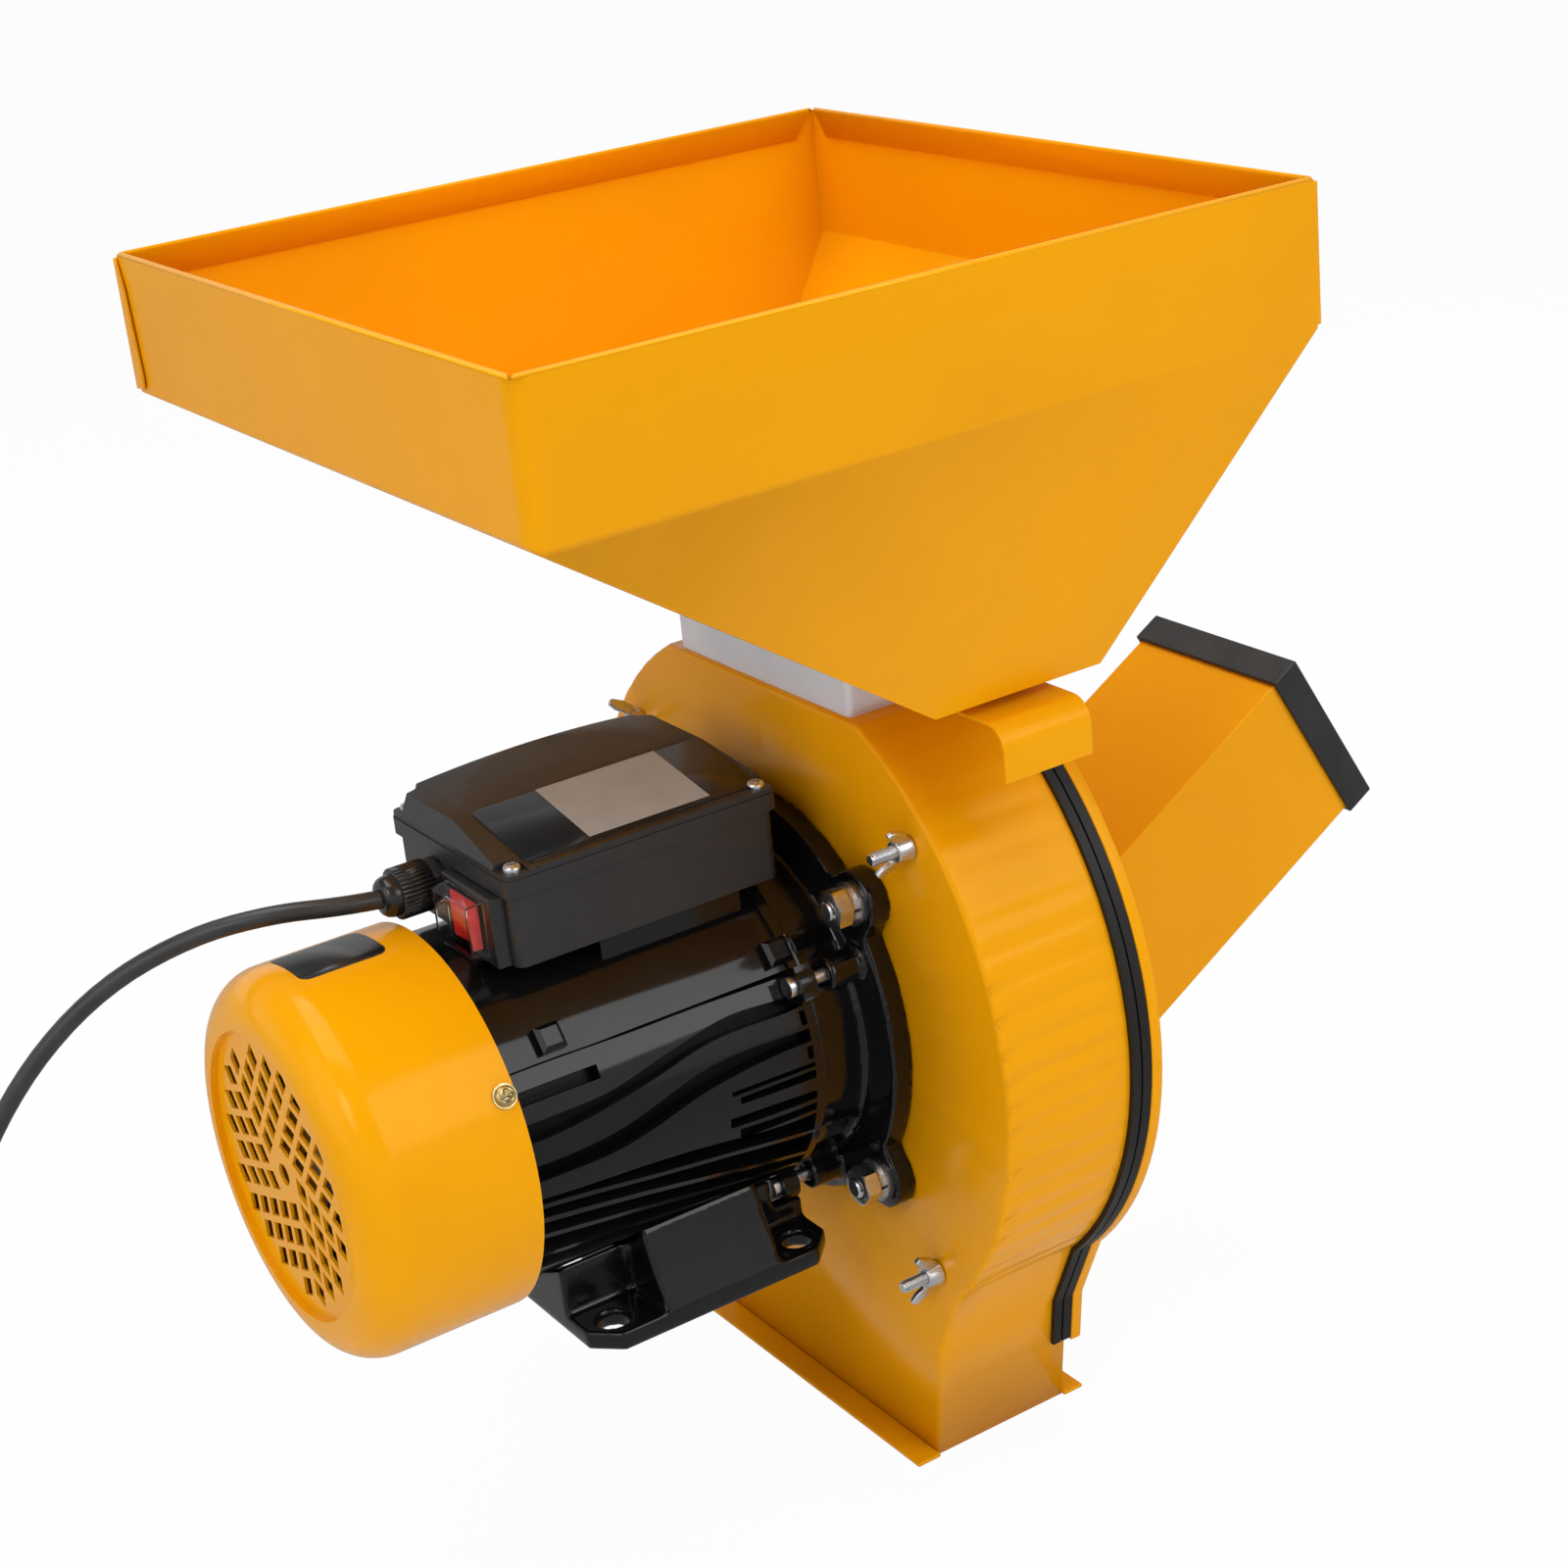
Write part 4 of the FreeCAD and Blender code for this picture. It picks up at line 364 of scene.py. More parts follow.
def stretch(verts, low, high):
    """Moves the corners of a level rectangle to those of another, at high's height."""
    mid = sum((v.co for v in verts), Vector()) / len(verts)
    for v in verts:
        v.co = Vector((low[0] if v.co.x < mid.x else high[0], low[1] if v.co.y < mid.y else high[1], high[2]))


def rounded(shape, edges, radius, rings=3):
    bmesh.ops.bevel(shape, geom=edges, offset=radius, offset_type="OFFSET", segments=rings, profile=0.5,
                    affect="EDGES", clamp_overlap=True, material=-1)


def face_out(shape, face, direction):
    """Turns the whole sheet over unless this face looks along direction."""
    bmesh.ops.recalc_face_normals(shape, faces=shape.faces)
    if face.normal.dot(Vector(direction)) < 0:
        bmesh.ops.reverse_faces(shape, faces=shape.faces)


def join_in(shape, part, matrix):
    """Adds a part that was built on its own to a shape, at its place."""
    bmesh.ops.transform(part, matrix=matrix, verts=part.verts)
    spare = bpy.data.meshes.new("spare")
    part.to_mesh(spare)
    part.free()
    shape.from_mesh(spare)
    bpy.data.meshes.remove(spare)


hopper = bmesh.new()
bmesh.ops.create_grid(hopper, x_segments=1, y_segments=1, size=1)
stretch(hopper.verts, (-OUTLET_X, OUTLET_Y[0]), (OUTLET_X, OUTLET_Y[1], OUTLET_Z))
bmesh.ops.delete(hopper, geom=hopper.faces[:], context="FACES_ONLY")
outside = hopper.edges[:]
for height in (COLLAR_Z, RIM_Z - HEM_R):
    corners, outside = extruded(hopper, outside)
    stretch(corners, (-RIM_X, RIM_Y[0]), (RIM_X, RIM_Y[1], height))
mid_y = sum(RIM_Y) / 2
for side_x in (1, -1):
    for side_y in (1, -1):
        post = [e for e in hopper.edges if abs(e.verts[0].co.z - e.verts[1].co.z) > POST_LEAST
                and all(v.co.x * side_x > 0 and (v.co.y - mid_y) * side_y > 0 for v in e.verts)]
        rounded(hopper, post, SOFT_CORNER_R if (side_x, side_y) == (1, -1) else TIGHT_CORNER_R, 5)
rounded(hopper, [e for e in hopper.edges if len(e.link_faces) == 2 and e.calc_face_angle(0) > FOLD_LEAST
                 and all(abs(v.co.z - COLLAR_Z) < NEAR for v in e.verts)], FOLD_R, 4)
lowest = [e for e in hopper.edges if e.is_boundary and all(abs(v.co.z - OUTLET_Z) < NEAR for v in e.verts)]
inlet = bmesh.ops.create_grid(hopper, x_segments=1, y_segments=1, size=1)["verts"]
stretch(inlet, (-INLET_X, INLET_MID_Y - INLET_Y), (INLET_X, INLET_MID_Y + INLET_Y, OUTLET_Z))
inlet_edges = list({e for v in inlet for e in v.link_edges})
bmesh.ops.delete(hopper, geom=list({f for v in inlet for f in v.link_faces}), context="FACES_ONLY")
bmesh.ops.triangle_fill(hopper, use_beauty=True, use_dissolve=False, edges=lowest + inlet_edges)
side_faces = [f for f in hopper.faces if abs(f.normal.x) > 0.9]
face_out(hopper, max(side_faces, key=lambda f: f.calc_center_median().x), (1, 0, 0))
folded = put("hopper_sheet", hopper, YELLOW, "base", ["hopper"], thick=SHEET, turn_out=False)
folded.modifiers.new("even shading", "WEIGHTED_NORMAL").keep_sharp = True

hem = bmesh.new()
half_y = (RIM_Y[1] - RIM_Y[0]) / 2
for quarter in range(4):
    out, half_run = (half_y, RIM_X) if quarter % 2 else (RIM_X, half_y)
    strip = bmesh.new()
    ends = [strip.verts.new((0, s * (half_run - TIGHT_CORNER_R), 0)) for s in (-1, 1)]
    ring = [strip.edges.new(ends)]
    for bend in range(1, HEM_BENDS + 1):
        angle = math.pi * bend / HEM_BENDS
        corners, ring = extruded(strip, ring)
        for v in corners:
            v.co.x = HEM_R * (math.cos(angle) - 1)
            v.co.z = HEM_R * math.sin(angle)
            v.co.y = math.copysign(half_run - TIGHT_CORNER_R + v.co.x, v.co.y)
    corners, _ = extruded(strip, ring)
    for v in corners:
        v.co.z = -HEM_TALL + HEM_R
        v.co.y = math.copysign(half_run - HEM_MITRE - HEM_R * 2, v.co.y)
    face_out(strip, strip.faces[:][0], (1, 0, 0.2))
    around = Matrix.Translation((0, mid_y, RIM_Z - HEM_R)) @ Matrix.Rotation(quarter * math.pi / 2, 4, "Z")
    join_in(hem, strip, around @ Matrix.Translation((out, 0, 0)))
put("hopper_hem", hem, YELLOW, "base", thick=SHEET, turn_out=False)

for name, turn in (("front_corner_tab", 0.0), ("rear_corner_tab", math.pi)):
    tab = bmesh.new()
    outline = [tab.verts.new((x * MM - RIM_X, RIM_Y[0] - TAB_GAP * min(1, x / 4) - SHEET, z * MM))
               for x, z in TAB_FORM]
    tab.faces.new(outline)
    fold_back, _ = extruded(tab, [tab.edges.get((outline[-1], outline[0]))])
    for v in fold_back:
        v.co = Vector((-RIM_X - TAB_TUCK, RIM_Y[0] + TAB_BACK, v.co.z))
    face_out(tab, tab.faces[:][0], (0, -1, 0))
    bmesh.ops.rotate(tab, verts=tab.verts, cent=(0, mid_y, 0), matrix=Matrix.Rotation(turn, 3, "Z"))
    put(name, tab, YELLOW, "base", thick=SHEET * 0.9, rounding=TAB_EASE, turn_out=False)


# Neck block and slide gate
# A milled block of milky plastic carries the hopper on the housing, and is slotted for the gate. The gate is
# a coated strip of sheet, bent down at its pull end, that shuts the inlet. Four screws clamp the neck.

GATE_Y = (INLET_MID_Y - 23.5 * MM, INLET_MID_Y + 23.5 * MM)
GATE_START, GATE_END, GATE_Z = -45 * MM, 168 * MM, 274.4 * MM
GATE_BEND, GATE_DROP = 11 * MM, 14 * MM
SAME_PLACE, SAME_PLANE = 0.002 * MM, math.radians(0.6)

MILKY = finish("milky_plastic", (0.74, 0.74, 0.78), (0.66, 0.66, 0.71), 0.38, 0.5, patch=25.0,
               grain=(700.0, 0.12), ripple=(60.0, 0.3))
set_inputs(shader_of(MILKY), {"Subsurface Weight": 0.2, "Subsurface Radius": (0.01, 0.01, 0.011)})


def eased(node, material, body, rounding, rings=2, limit=32, name=None):
    """A copy of a piece of the frame, its facets merged and its edges rounded, in place of that piece."""
    shape = bmesh.new()
    shape.from_mesh(NODES[node].data)
    bmesh.ops.remove_doubles(shape, verts=shape.verts, dist=SAME_PLACE)
    bmesh.ops.dissolve_limit(shape, angle_limit=SAME_PLANE, use_dissolve_boundaries=False, verts=shape.verts,
                             edges=shape.edges)
    put(name or node + "_eased", shape, material, body, [node], rounding=rounding, rings=rings,
        limit=limit, turn_out=False)


eased("neck_block", MILKY, "base", 2.2 * MM, 3)

gate = bmesh.new()
head = gate.verts.new((GATE_START, GATE_Y[0], GATE_Z))
bend = gate.verts.new((GATE_END - GATE_BEND, GATE_Y[0], GATE_Z))
gate.edges.new((head, bend))
bmesh.ops.spin(gate, geom=[bend], cent=(GATE_END - GATE_BEND, GATE_Y[0], GATE_Z - GATE_BEND), axis=(0, 1, 0),
               angle=math.pi / 2, steps=8)
lowest = min(gate.verts, key=lambda v: v.co.z)
tip = gate.verts.new(lowest.co + Vector((0, 0, -GATE_DROP)))
gate.edges.new((lowest, tip))
wide, _ = extruded(gate, gate.edges[:])
bmesh.ops.translate(gate, verts=wide, vec=(0, GATE_Y[1] - GATE_Y[0], 0))
face_out(gate, max(gate.faces, key=lambda f: f.calc_area()), (0, 0, 1))
put("gate_plate", gate, YELLOW, "gate", ["feed_gate"], thick=SHEET, rounding=0.4 * MM, limit=50,
    turn_out=False)

ZINC = finish("zinc_plate", (0.72, 0.73, 0.74), (0.60, 0.61, 0.63), 0.24, 0.33, patch=120.0,
              grain=(900.0, 0.03), ripple=(200.0, 0.06), metal=1.0)
dress(ZINC, "neck_screws", "neck_nuts")


# Grinding housing
# A deep drum of coated sheet: flat back plate, a wall rolled by hand in narrow bends that leave soft flutes,
# a flat top under the neck, and below it the outlet duct with two base flanges. Corners are dressed round.

SHAFT_Z, BACK_Y, FRONT_Y = 104 * MM, 99 * MM, 175.5 * MM
DRUM_R, TOP_RISE = 172 * MM, 153 * MM
WAIST_ANGLE, SHOULDER_CALM = math.radians(46), 0.03
KNEE, FOOT_HALF = (101 * MM, -58 * MM), 91.5 * MM
DUCT_LEAN = (KNEE[0] - FOOT_HALF) / (KNEE[1] - FLOOR_Z)
HOUSING_SHEET = 2 * MM
COVER_FOOT_Z = FLOOR_Z + 34 * MM
BORE_R, BORE_STEPS = 45 * MM, 96
WALL_STEPS = 150
FLUTE_PITCH, FLUTE_DEPTH = math.radians(4.6), 1.8 * MM
# How strong the flutes are at each depth of the drum; two of the depths are the ends of the grain inlet
FLUTE_FADE = ((BACK_Y, 0.8), (BACK_Y + 10 * MM, 1.0), (INLET_MID_Y - INLET_Y, 1.0), (INLET_MID_Y, 1.0),
              (INLET_MID_Y + INLET_Y, 0.95), (161 * MM, 0.7), (166 * MM, 0.25), (FRONT_Y, 0.15))
CORNER_R = 2.2 * MM
FLANGE_HALF, FLANGE_OUT, FLANGE_SHORTER, FLANGE_EASE = 94 * MM, 13.4 * MM, 2 * MM, 0.6 * MM


def circle_edges(shape, place, radius, segments, filled=False):
    """A circle that faces along y at a place, given back as its edges."""
    made = bmesh.ops.create_circle(shape, cap_ends=filled, radius=radius, segments=segments,
                                   matrix=Matrix.Translation(place) @ Matrix.Rotation(math.pi / 2, 4, "X"))
    return list({e for v in made["verts"] for e in v.link_edges})


def flute(angle, right_side):
    """How far the rolled wall stands in at an angle: rounded lobes of uneven size between creases."""
    way = (angle + (0 if right_side else 0.03)) / FLUTE_PITCH
    way += 0.22 * math.sin(4.1 * angle + 0.5) + 0.13 * math.sin(11.3 * angle + 1.0)
    lobe = abs(math.sin(way * math.pi))
    depth = 0.62 + 0.38 * math.sin(3.3 * angle + 0.9) * math.sin(7.9 * angle)
    lower = min(1.0, max(0.0, (0.95 - angle) / 0.9))
    return FLUTE_DEPTH * depth * (0.35 + 0.65 * lower) * (1 - lobe ** 0.8)


housing = bmesh.new()
flat_half = math.sqrt(DRUM_R ** 2 - TOP_RISE ** 2)
top, over_inlet, shoulder = (housing.verts.new((x, BACK_Y, SHAFT_Z + TOP_RISE))
                             for x in (0, INLET_X, flat_half))
housing.edges.new((top, over_inlet))
housing.edges.new((over_inlet, shoulder))
bmesh.ops.spin(housing, geom=[shoulder], cent=(0, BACK_Y, SHAFT_Z), axis=(0, 1, 0),
               angle=math.atan2(TOP_RISE, flat_half) + WAIST_ANGLE, steps=WALL_STEPS)
waist = min((v for v in housing.verts if v.co.x > flat_half), key=lambda v: v.co.z)
knee, heel, middle = (housing.verts.new((x, BACK_Y, z))
                      for x, z in (KNEE, (FOOT_HALF, FLOOR_Z), (0, FLOOR_Z)))
for pair in ((waist, knee), (knee, heel), (heel, middle)):
    housing.edges.new(pair)
bmesh.ops.mirror(housing, geom=housing.verts[:] + housing.edges[:], matrix=Matrix(), merge_dist=0.01 * MM,
                 axis="X")
ring = housing.edges[:]
plate = bmesh.ops.contextual_create(housing, geom=ring)["faces"]
for y, _ in FLUTE_FADE[1:]:
    verts, ring = extruded(housing, ring)
    for v in verts:
        v.co.y = y
hole = [f for f in housing.faces if f.calc_center_median().z > SHAFT_Z + TOP_RISE - MM
        and abs(f.calc_center_median().x) < INLET_X and abs(f.calc_center_median().y - INLET_MID_Y) < INLET_Y]
ground = [f for f in housing.faces if f.calc_center_median().z < FLOOR_Z + MM and f not in plate]
bmesh.ops.delete(housing, geom=hole + ground, context="FACES")
for v in housing.verts:
    rise = v.co.z - SHAFT_Z
    angle = math.atan2(rise, abs(v.co.x))
    round_part = -WAIST_ANGLE - 0.001 < angle < math.asin(TOP_RISE / DRUM_R) - SHOULDER_CALM
    if round_part and abs(math.hypot(v.co.x, rise) - DRUM_R) < NEAR * 2:
        fade = next(f for y, f in FLUTE_FADE if abs(v.co.y - y) < NEAR)
        dent = flute(angle, v.co.x > 0) * fade / DRUM_R
        v.co.x -= v.co.x * dent
        v.co.z -= rise * dent
rim = [e for e in plate[0].edges if len(e.link_faces) == 2
       and (e.calc_length() < 100 * MM or min(v.co.z for v in e.verts) > FLOOR_Z + MM)]
rounded(housing, rim, CORNER_R)
plate = [f for f in housing.faces if len(f.verts) > 100]
plate_edges = plate[0].edges[:]
bmesh.ops.delete(housing, geom=plate, context="FACES_ONLY")
bore = circle_edges(housing, (0, BACK_Y, SHAFT_Z), BORE_R, BORE_STEPS)
bmesh.ops.triangle_fill(housing, use_beauty=True, use_dissolve=False, edges=plate_edges + bore)
back = [f for f in housing.faces if abs(f.calc_center_median().y - BACK_Y) < 0.01 * MM]
face_out(housing, max(back, key=lambda f: f.calc_area()), (0, -1, 0))
put("housing_drum", housing, YELLOW, "base", ["housing_shell"], thick=HOUSING_SHEET, limit=38,
    turn_out=False)

duct = bmesh.new()
low_edge = [duct.verts.new((side * (FOOT_HALF - HOUSING_SHEET), FRONT_Y, FLOOR_Z)) for side in (-1, 1)]
corners, _ = extruded(duct, [duct.edges.new(low_edge)])
for v in corners:
    v.co.z = COVER_FOOT_Z + 2 * MM
    v.co.x += math.copysign(DUCT_LEAN * (v.co.z - FLOOR_Z), v.co.x)
face_out(duct, duct.faces[:][0], (0, 1, 0))
put("duct_front", duct, YELLOW, "base", thick=HOUSING_SHEET, turn_out=False)

for name, y, out in (("rear_base_flange", BACK_Y, -FLANGE_OUT),
                     ("front_base_flange", FRONT_Y, FLANGE_OUT - FLANGE_SHORTER)):
    flange = bmesh.new()
    bmesh.ops.create_grid(flange, x_segments=24, y_segments=2, size=1)
    for v in flange.verts:
        v.co = Vector((v.co.x * FLANGE_HALF, y + out * (v.co.y + 1) / 2, FLOOR_Z + HOUSING_SHEET))
    face_out(flange, flange.faces[:][0], (0, 0, 1))
    put(name, flange, YELLOW, "base", thick=HOUSING_SHEET, rounding=FLANGE_EASE,
        turn_out=False)

dress(finish("seal_rubber", (0.007, 0.006, 0.006), (0.012, 0.010, 0.009), 0.40, 0.52, patch=45.0,
             grain=(1300.0, 0.06), ripple=(70.0, 0.22), specular=0.3), "housing_seal")


# Inside of the mill
# Seen down the chute and through the duct: the perforated screen in its ring, and the beater bars clamped on
# the shaft with spacers, a washer and a nut. The shaft and its bearings are of the same plain steel.

STEEL = finish("plain_steel", (0.42, 0.41, 0.40), (0.30, 0.29, 0.28), 0.30, 0.48, patch=60.0,
               grain=(700.0, 0.35), ripple=(90.0, 0.3), metal=1.0)
dress(STEEL, "sieve_ring", "sieve_screen", "rotor_hub", "beater_bars", "bar_spacers", "clamp_washer",
      "shaft_nut", "motor_shaft", "bearing_inners", "bearing_outers", "bearing_balls")


# Front cover with its chute
# A flat coated sheet with a folded rim closes the drum; a square chute of folded sheet is welded on and its
# mouth is edged with a pressed-on rubber channel.

eased("front_cover", YELLOW, "cover", 0.8 * MM)
eased("feed_chute", YELLOW, "cover", 0.7 * MM, name="chute_tube")
TRIM_RUBBER = finish("trim_rubber", (0.010, 0.010, 0.010), (0.018, 0.018, 0.018), 0.40, 0.55, patch=45.0,
                     grain=(1300.0, 0.10), ripple=(60.0, 0.5))
eased("chute_trim", TRIM_RUBBER, "cover", 1.6 * MM, 4)


# Studs and wing nuts
# Long zinc-plated studs welded to the cover run back through the drum; a cast wing nut on each one draws the
# cover shut against its rubber.

STUDS = ((113, 105), (-113, 105), (106, -114), (-106, -114))
STUD_R, STUD_PITCH, STUD_OUT = 3 * MM, 1.0 * MM, 21 * MM
STUD_END_Y = BACK_Y - STUD_OUT
COVER_Y = FRONT_Y + 2.3 * MM
THREAD_TALL, THREAD_STEPS = 30 * MM, 18
THREAD_DEPTH, CREST, RUN_IN = 0.55, (0.42, 0.58), 0.6
WING_TURNS = (62, 115, 75, 130)
NUT_FACE_Y = BACK_Y - 0.3 * MM
NUT_BORE_R, NUT_BOSS_R, NUT_TIP_R, NUT_TALL = 3.05 * MM, 6.5 * MM, 5.0 * MM, 8 * MM
EAR_FORM = ((4.2, 0.8), (8.5, 2.5), (12.0, 6.5), (14.6, 12.5), (12.4, 14.6), (8.6, 12.0), (6.0, 8.0),
            (4.2, 7.6))
EAR_THICK = 3.0 * MM


def threaded(shape, x, z, y0, y1, radius, pitch, steps=THREAD_STEPS):
    """A thread from y0 towards y1: one ridge carried round and along, with a chamfered end at y0."""
    depth = pitch * THREAD_DEPTH
    turns = int(abs(y1 - y0) / pitch) - 1
    along = math.copysign(pitch, y1 - y0)
    start = y0 + along * RUN_IN
    ridge = [shape.verts.new((x + r, start + along * k, z)) for r, k in
             ((radius - depth, 0), (radius, CREST[0]), (radius, CREST[1]), (radius - depth, 1.0))]
    edges = [shape.edges.new(pair) for pair in zip(ridge, ridge[1:])]
    bmesh.ops.spin(shape, geom=ridge + edges, cent=(x, 0, z), axis=(0, 1, 0), dvec=(0, along / steps, 0),
                   angle=2 * math.pi * turns, steps=turns * steps)
    ring = circle_edges(shape, (x, y0, z), radius - depth * 1.25, steps, filled=True)
    for r, y in ((radius - depth * 0.5, start - along * 0.1), (radius - depth, start), (radius - depth, y1)):
        verts, ring = extruded(shape, ring)
        for v in verts:
            out = Vector((v.co.x - x, 0, v.co.z - z)).normalized()
            v.co = Vector((x, y, z)) + out * r


def shank(shape, x, z, y0, y1, radius, segments, filled=False):
    """A plain round length of a rod from y0 to y1."""
    far, _ = extruded(shape, circle_edges(shape, (x, y0, z), radius, segments, filled))
    bmesh.ops.translate(shape, verts=far, vec=(0, y1 - y0, 0))


studs = bmesh.new()
for x, z in STUDS:
    x, z, thread_end = x * MM, SHAFT_Z + z * MM, STUD_END_Y + THREAD_TALL
    threaded(studs, x, z, STUD_END_Y, thread_end, STUD_R, STUD_PITCH)
    shank(studs, x, z, thread_end, COVER_Y, STUD_R * 0.93, 24)
put("stud_threads", studs, ZINC, "cover", ["cover_studs"], limit=50)

for number, ((x, z), turn) in enumerate(zip(STUDS, WING_TURNS), 1):
    wing = bmesh.new()
    profile = ((NUT_BORE_R, 0), (NUT_BOSS_R, 0), (NUT_TIP_R, NUT_TALL), (NUT_BORE_R, NUT_TALL))
    corners = [wing.verts.new((r, -y, 0)) for r, y in profile]
    edges = [wing.edges.new(pair) for pair in zip(corners, corners[1:] + corners[:1])]
    bmesh.ops.spin(wing, geom=corners + edges, cent=(0, 0, 0), axis=(0, 1, 0), angle=2 * math.pi, steps=32,
                   use_merge=True)
    for side in (1, -1):
        ear = wing.faces.new([wing.verts.new((side * r * MM, -h * MM, -EAR_THICK / 2)) for r, h in EAR_FORM])
        grown = bmesh.ops.extrude_face_region(wing, geom=[ear])["geom"]
        bmesh.ops.translate(wing, verts=[g for g in grown if isinstance(g, bmesh.types.BMVert)],
                            vec=(0, 0, EAR_THICK))
    bmesh.ops.rotate(wing, verts=wing.verts, cent=(0, 0, 0),
                     matrix=Matrix.Rotation(math.radians(-turn), 3, "Y"))
    bmesh.ops.translate(wing, verts=wing.verts, vec=(x * MM, NUT_FACE_Y, SHAFT_Z + z * MM))
    put("wing_%d_cast" % number, wing, ZINC, "wing_%d" % number, ["wing_nut_%d" % number],
        rounding=0.8 * MM, rings=3)


# Motor
# A cast frame with snaking grooves in its sides, on a cast foot, and an end bracket bolted to the drum
# through its lugs. All of it is in thick black paint, glossy on the lands and duller in the grooves.

GLOSS_FROM, GLOSS_TO = 79.5 * MM, 82.0 * MM
GROOVE_GLOSS, LAND_GLOSS = 0.04, 0.6
CAST_GRAIN, FOOT_PASSES, BRACKET_PASSES = 1.5 * MM, 6, 5

BLACK_PAINT = finish("black_paint", (0.0035, 0.0035, 0.0038), (0.005, 0.005, 0.0055), 0.07, 0.17, patch=22.0,
                     grain=(420.0, 0.05), ripple=(75.0, 0.20), specular=0.4)
FRAME_PAINT = finish("frame_paint", (0.003, 0.003, 0.0032), (0.004, 0.004, 0.0045), 0.30, 0.42, patch=22.0,
                     grain=(420.0, 0.06), ripple=(75.0, 0.40), specular=0.08)
where, flat, reached, gloss = new_nodes(FRAME_PAINT.node_tree, "TexCoord", "VectorMath", "VectorMath",
                                        "MapRange")
flat.operation = "MULTIPLY_ADD"
flat.inputs[1].default_value = (1, 0, 1)
flat.inputs[2].default_value = (0, 0, -SHAFT_Z)
reached.operation = "LENGTH"
set_inputs(gloss, {"From Min": GLOSS_FROM, "From Max": GLOSS_TO,
                   "To Min": GROOVE_GLOSS, "To Max": LAND_GLOSS})
set_inputs(shader_of(FRAME_PAINT), {"Coat Roughness": 0.08})
wire(FRAME_PAINT.node_tree, (where.outputs["Object"], flat.inputs[0]),
     (flat.outputs["Vector"], reached.inputs[0]),
     (reached.outputs["Value"], gloss.inputs["Value"]),
     (gloss.outputs["Result"], shader_of(FRAME_PAINT).inputs["Coat Weight"]))
eased("motor_frame", FRAME_PAINT, "base", 0.8 * MM, 2, 40)
dress(BLACK_PAINT, "rear_shield")


def cast(node, passes):
    """A copy of a painted casting of the frame with its edges and corners run soft."""
    shape = bmesh.new()
    shape.from_mesh(NODES[node].data)
    bmesh.ops.remove_doubles(shape, verts=shape.verts, dist=SAME_PLACE)
    piece = put(node + "_cast", shape, BLACK_PAINT, "base", [node], turn_out=False)
    skin = piece.modifiers.new("skin", "REMESH")
    skin.mode = "VOXEL"
    skin.voxel_size = CAST_GRAIN
    skin.use_smooth_shade = True
    soft = piece.modifiers.new("soft edges", "SMOOTH")
    soft.factor = 0.5
    soft.iterations = passes


cast("motor_foot", FOOT_PASSES)
cast("flange_bracket", BRACKET_PASSES)
IRON = finish("core_iron", (0.16, 0.15, 0.14), (0.09, 0.085, 0.08), 0.45, 0.6, grain=(500.0, 0.5), metal=1.0)
dress(IRON, "rotor_core", "stator_core")
dress(finish("enamelled_wire", (0.45, 0.14, 0.04), (0.30, 0.08, 0.02), 0.25, 0.4, grain=(1500.0, 0.6),
             ripple=(300.0, 0.5), metal=0.6), "stator_windings")
GREY_PLASTIC = finish("grey_plastic", (0.30, 0.30, 0.31), (0.25, 0.25, 0.26), 0.4, 0.5)
dress(GREY_PLASTIC, "run_capacitor", "terminal_block")
dress(finish("fan_plastic", (0.02, 0.02, 0.021), (0.03, 0.03, 0.031), 0.4, 0.5), "cooling_fan")


# Fan cowl
# Pressed sheet in the same yellow, with a punched grille in its recessed end and three brassy washer-head
# screws into the frame. A plain black sticker with rounded corners is stuck on its top.

COWL_R = 90.5 * MM
COWL_SCREW_Y, COWL_SCREW_ANGLES = -94.5 * MM, (28, 148, 268)
COWL_HEAD = ((3.4, 3.4), (4.2, 3.0), (4.6, 2.1), (4.6, 0.9), (5.6, 0.85), (5.6, 0.0), (2.5, 0.0),
             (2.5, -12.5))
CROSS_ARM, CROSS_HALF = 0.72, 0.17
STICKER_ANGLES, STICKER_Y = (math.radians(84), math.radians(108)), (-147 * MM, -105.5 * MM)
STICKER_CORNER, STICKER_STRIPS, STICKER_THICK = 5 * MM, 20, 0.25 * MM

COWL_PAINT = finish("cowl_paint", (0.88, 0.375, 0.0015), (0.84, 0.355, 0.0012), 0.15, 0.20, patch=14.0,
                    grain=(380.0, 0.04), ripple=(40.0, 0.35), specular=0.26, glint=(1.0, 0.74, 0.34))
eased("fan_cowl", COWL_PAINT, "base", 0.5 * MM, 2, 40)


